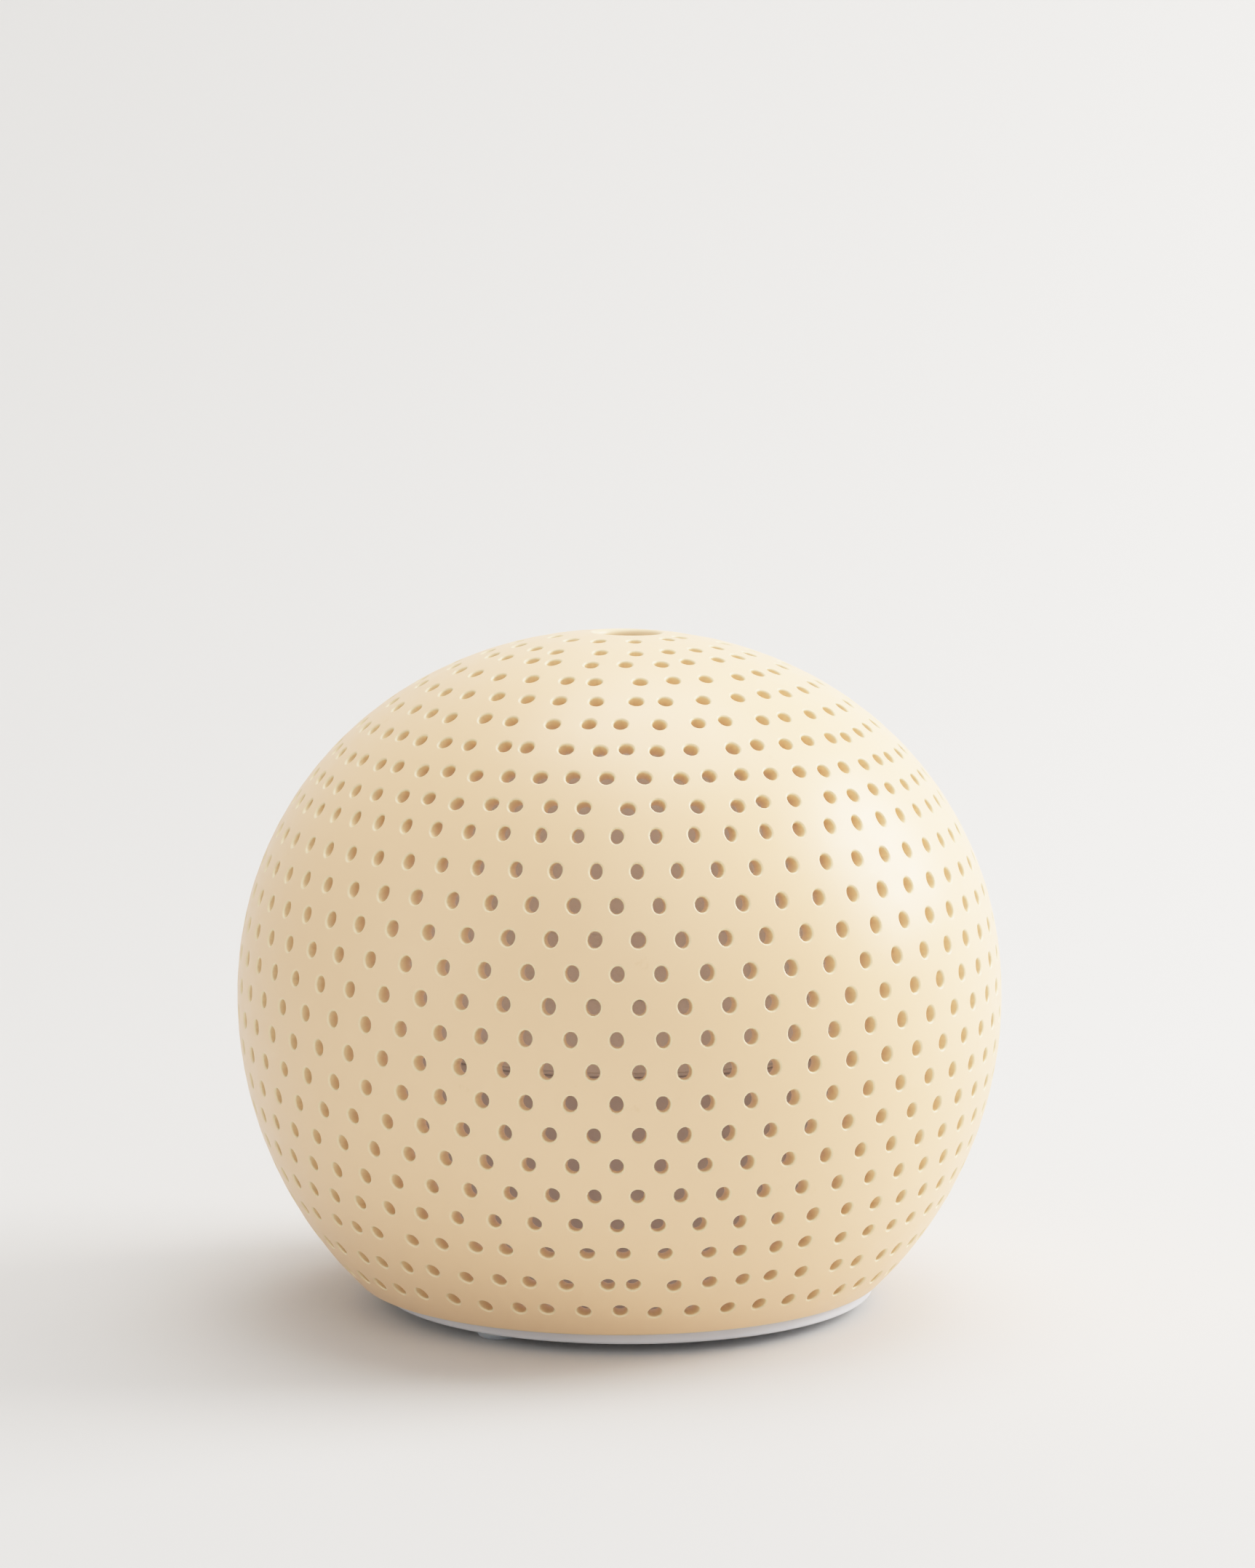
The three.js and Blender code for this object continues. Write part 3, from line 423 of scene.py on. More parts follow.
def rim_rings():
    """Closed rings along the rim and round the rear arch, from the outer face to the inner face."""
    path = rim_path()
    rings = []
    side = np.linspace(0, 1, ARCH_SIDE_STEPS)[1:-1]
    corner = np.linspace(0, math.pi / 2, ARCH_STEPS)
    for k, (rim_radius, rim_level) in enumerate(path):
        if k <= ROUND_STEPS:
            grown = ARCH_ROUND * (1 - math.sin(math.pi / 2 * k / ROUND_STEPS))
            inset = ARCH_ROUND * (1 - math.cos(math.pi / 2 * k / ROUND_STEPS))
        elif k == ROUND_STEPS + 1:
            grown, inset = 0.0, COVER_WALL - INNER_ROUND
        else:
            grown, inset = INNER_ROUND, COVER_WALL
        half = ARCH_WIDTH / 2 + grown
        top = PLATE_TOP + ARCH_HEIGHT + grown - COVER_LEVEL
        bend = ARCH_CORNER + grown
        # The right side upwards, the right corner and half the top, then the same mirrored.
        straight_high = top - bend
        rise = rim_level + (straight_high - rim_level) * side
        x = np.concatenate([np.full(len(side), half), half - bend + bend * np.cos(corner)])
        z = np.concatenate([rise, straight_high + bend * np.sin(corner)])
        flat = np.linspace(half - bend, 0, ARCH_TOP_STEPS)[1:]
        x = np.concatenate([x, flat])
        z = np.concatenate([z, np.full(len(flat), top)])
        x = np.concatenate([x, -x[-2::-1]])
        z = np.concatenate([z, z[-2::-1]])
        radius = wall_radius(z, inset)
        arch = np.stack([x, np.sqrt(radius**2 - x**2), z], 1)
        reach = math.asin(half / rim_radius)
        turn = np.linspace(-(math.pi - reach), math.pi - reach, RIM_SIDES)
        rim = np.stack(
            [rim_radius * np.sin(turn), -rim_radius * np.cos(turn), np.full(RIM_SIDES, rim_level)], 1
        )
        rings.append(np.concatenate([rim, arch]))
    return rings


def inside_loop(points, loop):
    """Whether flat points lie inside a closed loop, by counting crossings."""
    result = np.zeros(len(points), bool)
    x, y = points[:, 0], points[:, 1]
    previous = loop[-1]
    for current in loop:
        spans = (current[1] > y) != (previous[1] > y)
        if spans.any():
            slope = (previous[0] - current[0]) / (previous[1] - current[1] + 1e-30)
            result ^= spans & (x < current[0] + slope * (y - current[1]))
        previous = current
    return result


def strips(first, second):
    """Quads between two rings of vertex numbers, one row of rings each."""
    a, b = np.roll(first, -1, -1), np.roll(second, -1, -1)
    return np.stack([first, a, b, second], -1).reshape(-1, 4)


MAP_REACH = 1e-7
CROWN_LEVEL = 60.0
CROWN_REACH = 50.0
EDGE_GLAZE = 0.8
LIP_GLAZE = 0.5


def globe_mesh():
    """The whole globe: pierced outer face, bores, outlet, rim with its arch, and inner face."""
    holes = place_holes()
    hole, drill, bore_end = hole_rings(holes)
    outlet = outlet_rings()
    rim = rim_rings()
    count = len(holes) * HOLE_SIDES

    # The flat map of the outer face, cut by the holes, the outlet and the rim with its arch.
    lip, edge, mouths = outlet[0], rim[0], hole[0][0].reshape(-1, 3)
    outlet_flat = on_map(s_at_crown_radius(np.hypot(lip[:, 0], lip[:, 1])), bearing(lip))
    rim_flat = on_map(s_at_level(edge[:, 2]), bearing(edge))
    hole_flat = on_map(s_at_level(mouths[:, 2]), bearing(mouths))
    flat = np.concatenate([hole_flat, outlet_flat, rim_flat])
    face = np.concatenate([mouths, lip, edge])
    loops = [range(i, i + HOLE_SIDES) for i in range(0, count, HOLE_SIDES)]
    loops.append(range(count, count + LIP_SIDES))
    loops.append(range(count + LIP_SIDES, len(flat)))
    group = np.concatenate([np.full(len(loop), i) for i, loop in enumerate(loops)])
    edges = [(loop[k - 1], loop[k]) for loop in loops for k in range(len(loop))]
    made = delaunay_2d_cdt([Vector(p) for p in flat], edges, [], 0, MAP_REACH)
    if any(not ids for ids in made[3]):
        crossing = [made[0][i] for i, ids in enumerate(made[3]) if not ids]
        raise ValueError(f"holes touch on the map near {crossing[:4]}")
    source = np.array([ids[0] for ids in made[3]])
    faces = source[np.array([f for f in made[2] if len(f) == 3])]
    same = (group[faces[:, 0]] == group[faces[:, 1]]) & (group[faces[:, 1]] == group[faces[:, 2]])
    rim_group = len(loops) - 1
    in_hole = same & (group[faces[:, 0]] < rim_group)
    border = same & ~in_hole
    middle = flat[faces].mean(1)
    outside = np.zeros(len(faces), bool)
    outside[border] = ~inside_loop(middle[border], rim_flat)
    faces = faces[~in_hole & ~outside]
    area = np.cross(flat[faces[:, 1]] - flat[faces[:, 0]], flat[faces[:, 2]] - flat[faces[:, 0]])
    faces = np.where(area[:, None] > 0, faces[:, ::-1], faces)
    return assemble_globe(hole, drill, bore_end, outlet, rim, face, faces)


def unit(vectors):
    """The same directions with length one."""
    return vectors / np.maximum(np.linalg.norm(vectors, axis=-1, keepdims=True), 1e-12)


def ring_normals(rings, start, end):
    """Normals along a row of rings, from start normals at the first to end normals at the last."""
    count = len(rings)
    result = []
    for k in range(count):
        low, high = rings[max(k - 1, 0)], rings[min(k + 1, count - 1)]
        path = high - low
        along = np.roll(rings[k], -1, 0) - np.roll(rings[k], 1, 0)
        result.append(unit(np.cross(along, path)))
    result[0] = start
    result[-1] = end
    return result


class Net:
    """The globe's points, with normals and shades, and its side faces, with corner normals."""

    def __init__(self, face, face_normals):
        self.points = [face]
        self.normals = [face_normals]
        self.glaze = [np.zeros(len(face))]
        self.inside = [np.zeros(len(face))]
        self.total = len(face)
        self.quads = []
        self.quad_normals = []

    def add(self, block, block_normals, thin, deep=0.0):
        """Adds points and numbers them. thin is for thin glaze, and deep is 1 on the inner face."""
        self.points.append(block)
        self.normals.append(block_normals)
        self.glaze.append(np.full(len(block), thin))
        self.inside.append(np.full(len(block), deep))
        numbers = np.arange(self.total, self.total + len(block))
        self.total += len(block)
        return numbers

    def add_strip(self, first, second, first_normals, second_normals):
        """Adds faces between vertex numbers, one ring per row, with a normal for each number."""
        shape = first.shape + (3,)
        n1, n2 = first_normals.reshape(shape), second_normals.reshape(shape)
        both = np.stack([n1, np.roll(n1, -1, -2), np.roll(n2, -1, -2), n2], -2)
        self.quads.append(strips(first, second))
        self.quad_normals.append(both.reshape(-1, 4, 3))


def add_bores(net, hole, drill, bore_end):
    """Each hole's rounded edge and bore. Gives the numbers of its points on the inner face."""
    start = hole[2][0]
    inward = start.mean(1, keepdims=True) - start
    inward = unit(inward - (inward * drill).sum(-1, keepdims=True) * drill)
    bore_normals = inward.reshape(-1, 3)
    edge_normals = hole[0][1].reshape(-1, 3)
    half_normals = unit(edge_normals + bore_normals)
    shape = start.shape[:2]
    edge = np.arange(len(edge_normals)).reshape(shape)
    half = net.add(hole[1][0].reshape(-1, 3), half_normals, 1.0).reshape(shape)
    bore = net.add(start.reshape(-1, 3), bore_normals, EDGE_GLAZE).reshape(shape)
    end = net.add(bore_end.reshape(-1, 3), bore_normals, 0.0, 1.0).reshape(shape)
    net.add_strip(edge, half, edge_normals, half_normals)
    net.add_strip(half, bore, half_normals, bore_normals)
    net.add_strip(bore, end, bore_normals, bore_normals)
    return end.reshape(-1)


def add_edge(net, rings, begin):
    """The outlet, or the rim with its arch. Gives the numbers of its points on the inner face."""
    final = len(rings) - 1
    previous = np.arange(begin, begin + len(rings[0]))
    start_normals = net.normals[0][previous]
    middle = ring_normals(rings, start_normals, inner_normals(rings[-1]))
    sign = np.sign((middle[1] * start_normals).sum())
    for k in range(1, len(rings)):
        before = middle[k - 1] if k == 1 else middle[k - 1] * sign
        normal = middle[k] if k == final else middle[k] * sign
        thin = LIP_GLAZE if k <= ROUND_STEPS else 0.0
        numbers = net.add(rings[k], normal, thin, float(k == final))
        net.add_strip(previous[None], numbers[None], before, normal)
        previous = numbers
    return previous


def assemble_globe(hole, drill, bore_end, outlet, rim, face, faces):
    """Joins the outer face, its holes, outlet and rim, and the same net of faces inside."""
    radius = np.hypot(face[:, 0], face[:, 1])
    on_crown = s_at_crown_radius(np.minimum(radius, CROWN_REACH))
    s = np.where(face[:, 2] > CROWN_LEVEL, on_crown, s_at_level(face[:, 2]))
    net = Net(face, on_globe(s, bearing(face))[1])
    after_holes = len(face) - LIP_SIDES - len(rim[0])
    inner_number = np.concatenate([
        add_bores(net, hole, drill, bore_end),
        add_edge(net, outlet, after_holes),
        add_edge(net, rim, after_holes + LIP_SIDES),
    ])
    points = np.concatenate(net.points)
    inner_faces = inner_number[faces][:, ::-1]
    outer_normals = np.concatenate(net.normals)[faces]
    corner_normals = [outer_normals, inner_normals(points)[inner_faces], *net.quad_normals]
    shades = {"glaze": np.concatenate(net.glaze), "inside": np.concatenate(net.inside)}
    return build_globe(points, [faces, inner_faces, *net.quads], corner_normals, shades)


def build_globe(points, polygons, corner_normals, shades):
    """Turns the arrays into a mesh in metres, with its corner normals and point attributes."""
    oriented, normals = [], []
    for faces, corners in zip(polygons, corner_normals):
        a, b, c = points[faces[:, 0]], points[faces[:, 1]], points[faces[:, 2]]
        facing = np.cross(b - a, c - a)
        wrong = (facing * corners.mean(1)).sum(1) < 0
        faces = np.where(wrong[:, None], faces[:, ::-1], faces)
        corners = np.where(wrong[:, None, None], corners[:, ::-1], corners)
        oriented.extend(faces.tolist())
        normals.append(corners.reshape(-1, 3))
    place = (points + [0.0, 0.0, COVER_LEVEL]) * MM
    mesh = bpy.data.meshes.new("pierced_globe")
    mesh.from_pydata(place.tolist(), [], oriented)
    for name, values in shades.items():
        layer = mesh.attributes.new(name, "FLOAT", "POINT")
        layer.data.foreach_set("value", values.astype(np.float32))
    mesh.shade_smooth()
    mesh.normals_split_custom_set(unit(np.concatenate(normals)).tolist())
    return mesh


globe = new_object("pierced_globe", globe_mesh())
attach(globe, "cover")
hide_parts("ceramic_cover")

# ---------------------------------------------------------------- materials


class Nodes:
    """A material's nodes, with short ways to add and link them."""

    def __init__(self, name):
        self.material = bpy.data.materials.new(name)
        self.material.use_nodes = True
        self.tree = self.material.node_tree
        self.shader = self.tree.nodes["Principled BSDF"]
        self.place = self.add("ShaderNodeTexCoord").outputs["Object"]

    def add(self, kind, **settings):
        node = self.tree.nodes.new(kind)
        for key, value in settings.items():
            setattr(node, key, value)
        return node

    def link(self, source, target):
        self.tree.links.new(source, target)

    def feed(self, socket, value):
        """Links an output to a socket, or sets the socket to a number or a colour."""
        if hasattr(value, "is_output"):
            self.link(value, socket)
        else:
            socket.default_value = value if isinstance(value, (int, float)) else (*value, 1.0)

    def set(self, **values):
        """Sets the shader's own sockets, such as coat_weight for Coat Weight."""
        for key, value in values.items():
            self.shader.inputs[key.replace("_", " ").title().replace("Ior", "IOR")].default_value = value

    def noise(self, scale, detail=3.0, roughness=0.55, stretch=None):
        node = self.add("ShaderNodeTexNoise")
        node.inputs["Scale"].default_value = scale
        node.inputs["Detail"].default_value = detail
        node.inputs["Roughness"].default_value = roughness
        source = self.place
        if stretch:
            mapping = self.add("ShaderNodeMapping")
            mapping.inputs["Scale"].default_value = stretch
            self.link(self.place, mapping.inputs["Vector"])
            source = mapping.outputs["Vector"]
        self.link(source, node.inputs["Vector"])
        return node.outputs["Fac"]

    def ramp(self, source, stops):
        node = self.add("ShaderNodeValToRGB")
        ramp = node.color_ramp
        while len(ramp.elements) < len(stops):
            ramp.elements.new(0.5)
        for element, (position, color) in zip(ramp.elements, stops):
            element.position = position
            element.color = (*color, 1.0)
        self.link(source, node.inputs["Fac"])
        return node.outputs["Color"]

    def mix(self, factor, first, second, blend="MIX"):
        node = self.add("ShaderNodeMix", data_type="RGBA", blend_type=blend)
        for place, value in ((0, factor), (6, first), (7, second)):
            self.feed(node.inputs[place], value)
        return node.outputs[2]

    def map_range(self, source, low, high, start=0.0, end=1.0):
        node = self.add("ShaderNodeMapRange")
        for key, value in (("From Min", start), ("From Max", end), ("To Min", low), ("To Max", high)):
            node.inputs[key].default_value = value
        self.link(source, node.inputs["Value"])
        return node.outputs["Result"]

    def math(self, operation, first, second):
        node = self.add("ShaderNodeMath", operation=operation)
        for socket, value in zip(node.inputs, (first, second)):
            self.feed(socket, value)
        return node.outputs["Value"]

    def bump(self, height, strength, distance):
        node = self.add("ShaderNodeBump")
        node.inputs["Strength"].default_value = strength
        node.inputs["Distance"].default_value = distance
        self.link(height, node.inputs["Height"])
        self.link(node.outputs["Normal"], self.shader.inputs["Normal"])

    def attribute(self, name):
        node = self.add("ShaderNodeAttribute", attribute_name=name)
        return node.outputs["Fac"]


def scaled(color, factor):
    """A colour made lighter or darker."""
    return tuple(min(1.0, c * factor) for c in color)


def plain(name, color, rough, metallic=0.0, mottle=0.05, grain=900.0, bump=0.06, depth=0.00004,
          spread=0.06, stretch=None, **extra):
    """Moulded, painted or worked surface: faint cloudy colour, uneven gloss and a fine grain."""
    m = Nodes(name)
    cloud = m.noise(38.0, 4.0)
    fine = m.noise(grain, 3.0, 0.6, stretch)
    color_out = m.ramp(cloud, ((0.3, scaled(color, 1 - mottle)), (0.7, scaled(color, 1 + mottle))))
    m.link(color_out, m.shader.inputs["Base Color"])
    both = m.math("MULTIPLY", cloud, fine)
    m.link(m.map_range(both, rough - spread, rough + spread, 0.12, 0.4), m.shader.inputs["Roughness"])
    m.bump(fine, bump, depth)
    m.set(metallic=metallic, **extra)
    return m.material


GLAZE_COLOR = (0.872, 0.577, 0.326)
THIN_GLAZE_COLOR = (0.87, 0.70, 0.42)
BORE_COLOR = (0.80, 0.585, 0.35)
# Painted light: a warm glow on the inner face and deep in the bores, which lights the inside of the globe.
INNER_GLOW_COLOR = (1.0, 0.84, 0.77)
INNER_GLOW_STRENGTH = 0.142
INNER_GLOW_POWER = 2.5


def ceramic():
    """Cream glaze, paler where it is thin at the holes. The inner face, and each bore towards it, glows
    faintly: painted light in place of daylight through the thin wall.
    """
    m = Nodes("glazed_ceramic")
    thin = m.attribute("glaze")
    cloud = m.noise(14.0, 4.0, 0.5)
    fine = m.noise(210.0, 4.0, 0.6)
    pores = m.noise(1400.0, 2.0, 0.5)
    face = m.ramp(cloud, ((0.25, scaled(GLAZE_COLOR, 0.975)), (0.75, scaled(GLAZE_COLOR, 1.02))))
    speck = m.ramp(fine, ((0.70, (1.0, 1.0, 1.0)), (0.80, (0.93, 0.90, 0.86))))
    face = m.mix(1.0, face, speck, "MULTIPLY")
    face = m.mix(m.attribute("inside"), face, BORE_COLOR)
    m.link(m.mix(thin, face, THIN_GLAZE_COLOR), m.shader.inputs["Base Color"])
    m.link(m.map_range(fine, 0.36, 0.46, 0.3, 0.7), m.shader.inputs["Roughness"])
    height = m.math("ADD", m.math("MULTIPLY", fine, 0.7), m.math("MULTIPLY", pores, 0.15))
    m.bump(height, 0.12, 0.00008)
    # Painted light: the inner face glows, fading out along each bore towards the outer face.
    painted_glow = m.math("MULTIPLY", m.math("POWER", m.attribute("inside"), INNER_GLOW_POWER), INNER_GLOW_STRENGTH)
    m.link(painted_glow, m.shader.inputs["Emission Strength"])
    m.set(specular_ior_level=0.5, coat_weight=0.12, coat_roughness=0.28)
    m.set(emission_color=(*INNER_GLOW_COLOR, 1.0))
    return m.material


SHELL = (0.61, 0.63, 0.685)
MATERIALS = {
    "ceramic": ceramic(),
    "shell_plastic": plain("shell_plastic", SHELL, 0.42),
    "button_plastic": plain("button_plastic", (0.82, 0.83, 0.88), 0.3, grain=1500.0, bump=0.03),
    "foot_silicone": plain(
        "foot_silicone", (0.78, 0.80, 0.84), 0.4, transmission_weight=0.45, ior=1.41,
        subsurface_weight=0.2,
    ),
    "label_film": plain("label_film", (0.74, 0.75, 0.77), 0.25, 0.3, grain=500.0, bump=0.02),
    "seal_silicone": plain("seal_silicone", (0.80, 0.80, 0.81), 0.5),
    "tank_plastic": plain("tank_plastic", (0.87, 0.86, 0.85), 0.3, subsurface_weight=0.1),
    "inner_plastic": plain("inner_plastic", (0.84, 0.84, 0.82), 0.45),
    "black_plastic": plain("black_plastic", (0.03, 0.03, 0.032), 0.45, mottle=0.2),
    "green_board": plain("green_board", (0.02, 0.13, 0.05), 0.32, mottle=0.25, grain=300.0),
    "white_board": plain("white_board", (0.80, 0.80, 0.76), 0.35, grain=300.0),
    "light_lens": plain("light_lens", (0.88, 0.76, 0.36), 0.2, coat_weight=0.6),
    "screw_steel": plain("screw_steel", (0.62, 0.62, 0.63), 0.32, 1.0, stretch=(1, 1, 12)),
    "disc_steel": plain("disc_steel", (0.70, 0.70, 0.71), 0.28, 1.0, stretch=(14, 1, 1)),
    "heat_sink_aluminium": plain("heat_sink_aluminium", (0.72, 0.73, 0.74), 0.38, 1.0, stretch=(1, 14, 1)),
    "ferrite": plain("ferrite", (0.06, 0.055, 0.05), 0.6, mottle=0.3, grain=2500.0, bump=0.2),
    "capacitor_sleeve": plain("capacitor_sleeve", (0.025, 0.035, 0.12), 0.3, mottle=0.15),
    "black_lead": plain("black_lead", (0.02, 0.02, 0.021), 0.35, mottle=0.2),
    "red_lead": plain("red_lead", (0.42, 0.025, 0.02), 0.35, mottle=0.12),
}


def dress(piece, slot):
    """Gives a piece the finish of a material slot, and no other."""
    piece.data.materials.clear()
    piece.data.materials.append(MATERIALS[slot])


dress(globe, "ceramic")

# ---------------------------------------------------------------- carried-over nodes

SLOTS = {part["node"]: part["material_slot"] for part in frame["record"]["subparts"]}
for name, node in NODES.items():
    for holder in node.material_slots:
        holder.link = "OBJECT"
        holder.material = MATERIALS[SLOTS[name]]

# ---------------------------------------------------------------- solids for the other pieces
# Outlines are in millimetres about the unit's upright axis, and the meshes are made in metres.

SIDES = 128
SMALL_SIDES = 48
SMOOTH_STEP = math.cos(math.radians(16))
WELD_REACH = 0.01 * MM
CLOSEST_POINTS = 1e-4


def from_bmesh(shape, x=0.0, y=0.0, z=0.0):
    """Turns a shape in millimetres into a piece in metres, moved to its place by the unit's axis."""
    bmesh.ops.recalc_face_normals(shape, faces=shape.faces)
    bmesh.ops.translate(shape, verts=shape.verts, vec=(x + UNIT_SHIFT, y, z))
    bmesh.ops.scale(shape, verts=shape.verts, vec=(MM, MM, MM))
    mesh = bpy.data.meshes.new("solid")
    shape.to_mesh(mesh)
    shape.free()
    mesh.shade_smooth()
    return new_object("solid", mesh)


def wall_between(shape, first, second):
    """Faces between two rings of as many vertices."""
    for i in range(len(first)):
        shape.faces.new((first[i - 1], first[i], second[i], second[i - 1]))


def turned(outline, x=0.0, y=0.0, level=None, sides=SIDES):
    """A solid of revolution from (radius, height) points. With a level it lies along +Y at that level."""
    shape = bmesh.new()
    turns = [2 * math.pi * k / sides for k in range(sides)]
    rings = []
    for radius, height in outline:
        places = [(radius * math.cos(t), radius * math.sin(t), height) for t in turns]
        rings.append([shape.verts.new(place) for place in places] if radius > 0 else [])
    for k, ring in enumerate(rings):
        before = rings[k - 1]
        if ring and before:
            wall_between(shape, before, ring)
        elif ring or before:
            shape.faces.new(ring or before)
    if level is None:
        return from_bmesh(shape, x, y)
    bmesh.ops.rotate(shape, verts=shape.verts, matrix=Matrix.Rotation(-math.pi / 2, 3, "X"))
    return from_bmesh(shape, x, y, level)


def prism(ends, x, y, z=0.0):
    """A solid between two flat outlines of the same shape."""
    shape = bmesh.new()
    rings = [[shape.verts.new(point) for point in end] for end in ends]
    for ring in rings:
        shape.faces.new(ring)
    wall_between(shape, *rings)
    return from_bmesh(shape, x, y, z)


def extruded(outline, low, high, x=0.0, y=0.0):
    """An upright solid with a flat outline of (x, y) points."""
    return prism([[(px, py, z) for px, py in outline] for z in (low, high)], x, y)


def rod(radius, low, high, x=0.0, y=0.0, level=None, sides=SMALL_SIDES):
    """A round bar, upright, or along +Y when it has a level."""
    return turned([(0, low), (radius, low), (radius, high), (0, high)], x, y, level, sides)


def sleeve(inner, outer, low, high, x=0.0, y=0.0):
    """An upright ring with a square cross-section."""
    return turned([(inner, low), (outer, low), (outer, high), (inner, high)], x, y)


def arc(x, y, across, up, first, last, steps=8):
    """Points of an arc: centre, radii, and first and last angle in degrees."""
    turns = [math.radians(first + (last - first) * k / steps) for k in range(steps + 1)]
    return [(x + across * math.cos(t), y + up * math.sin(t)) for t in turns]


def rounded(width, depth, corner, steps=6):
    """The outline of a rectangle with round corners, or of a slot when a side is two corners long."""
    x, y = width / 2 - corner, depth / 2 - corner
    outline = []
    for k, (cx, cy) in enumerate(((x, y), (-x, y), (-x, -y), (x, -y))):
        outline += arc(cx, cy, corner, corner, 90 * k, 90 * k + 90, steps)
    return [p for k, p in enumerate(outline) if math.dist(p, outline[k - 1]) > CLOSEST_POINTS]


def even_normals(mesh):
    """Shades smoothly round the small steps of a turned wall, and keeps flat faces flat."""
    around = [[] for _ in mesh.vertices]
    for face in mesh.polygons:
        for point in face.vertices:
            around[point].append(face)
    corners = [None] * len(mesh.loops)
    for face in mesh.polygons:
        for corner in face.loop_indices:
            total = face.normal * face.area
            for other in around[mesh.loops[corner].vertex_index]:
                if other is not face and other.normal.dot(face.normal) > SMOOTH_STEP:
                    total = total + other.normal * other.area
            corners[corner] = total.normalized()
    mesh.shade_smooth()
    mesh.normals_split_custom_set(corners)


def close_slits(mesh):
    """Fills the hair-thin gaps that a cut can leave where two tools just touch."""
    shape = bmesh.new()
    shape.from_mesh(mesh)
    open_edges = [edge for edge in shape.edges if edge.is_boundary]
    if open_edges:
        bmesh.ops.holes_fill(shape, edges=open_edges)
        shape.to_mesh(mesh)
    shape.free()


def worked(piece, add=(), cut=(), bevel=0.0, steps=2, angle=32.0):
    """Joins and cuts a solid with others, rounds its edges, and gives it the finished mesh."""
    for tools, operation in ((add, "UNION"), (cut, "DIFFERENCE")):
        for tool in tools:
            modifier = piece.modifiers.new("solid", "BOOLEAN")
            modifier.operation = operation
            modifier.solver = "EXACT"
            modifier.object = tool
    modifier = piece.modifiers.new("joined", "WELD")
    modifier.merge_threshold = WELD_REACH
    if bevel:
        modifier = piece.modifiers.new("edges", "BEVEL")
        modifier.width = bevel * MM
        modifier.segments = steps
        modifier.limit_method = "ANGLE"
        modifier.angle_limit = math.radians(angle)
    applied(piece)
    close_slits(piece.data)
    even_normals(piece.data)
    for tool in (*add, *cut):
        bpy.data.objects.remove(tool)
    return piece


def shown(piece, name, node, body="base_unit"):
    """Names a piece, and lets it stand for a CAD node, with that node's finish."""
    piece.name = name
    piece.data.name = name
    dress(piece, SLOTS[node])
    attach(piece, body)
    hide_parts(node)


def span(node):
    """Lowest and highest corner of a CAD node, in millimetres about the unit's axis."""
    low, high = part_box(node)
    shift = Vector((UNIT_SHIFT, 0, 0))
    return low / MM - shift, high / MM - shift


def middle(node):
    """Middle of a CAD node's box, in millimetres about the unit's axis."""
    low, high = span(node)
    return (low + high) / 2


def post(node, radius, low, high, sides=SMALL_SIDES):
    """An upright rod on the middle of a CAD node."""
    place = middle(node)
    return rod(radius, low, high, place.x, place.y, sides=sides)


# ---------------------------------------------------------------- base plate, feet, label, screws

PLATE_ROUND = 0.7
FOOT_RADIUS = 3.9
FOOT_ROUND = 1.1
SCREW_HEAD = 2.9
SMALL_HEAD = 1.7
SCREW_SHANK = 1.65
SMALL_SHANK = 1.15
BOSS_RADIUS = 3.6
PILLAR_RADIUS = 2.8
SPIGOT_WALL = 2.0
SPIGOT_HEIGHT = 3.0
SUNK = 0.5
FAN_PILLAR_RADIUS = 2.2
FAN_PILLAR_REACH = 12
LABEL_ROOM = 0.6
LABEL_CORNER = 1.0
HEAD_HEIGHT = 1.2
SMALL_HEAD_HEIGHT = 0.9
HEAD_FLAT = 0.45
CROSS_LENGTH = 0.95
CROSS_WIDTH = 0.2
CROSS_DEPTH = 0.55
FOOT_HOLLOW = 0.35
VENT_SLOTS = 7
VENT_WIDTH = 2.2
VENT_PITCH = 4.2
VENT_REACH = 12.9
VENT_RING = 14.6
VENT_RING_WIDTH = 0.8
VENT_RING_DEPTH = 0.3
HOUSING_SCREWS, BOARD_SCREWS, FAN_SCREWS, TRANSDUCER_SCREWS, FEET = (
    [name for name in NODES if name.startswith(start)]
    for start in ("housing_screw_", "board_screw_", "fan_screw_", "transducer_screw_", "foot_")
)


def vent_slots():
    """Tools for the row of slots under the fan, longer towards its middle."""
    fan = middle("fan_frame")
    for k in range(VENT_SLOTS):
        x = (k - (VENT_SLOTS - 1) / 2) * VENT_PITCH
        length = 2 * math.sqrt(max(VENT_REACH**2 - (abs(x) + VENT_WIDTH / 2) ** 2, 4.0))
        slot = rounded(VENT_WIDTH, length, VENT_WIDTH / 2)
        yield extruded(slot, PLATE_LOW - 1, PLATE_TOP + 1, fan.x + x, fan.y)


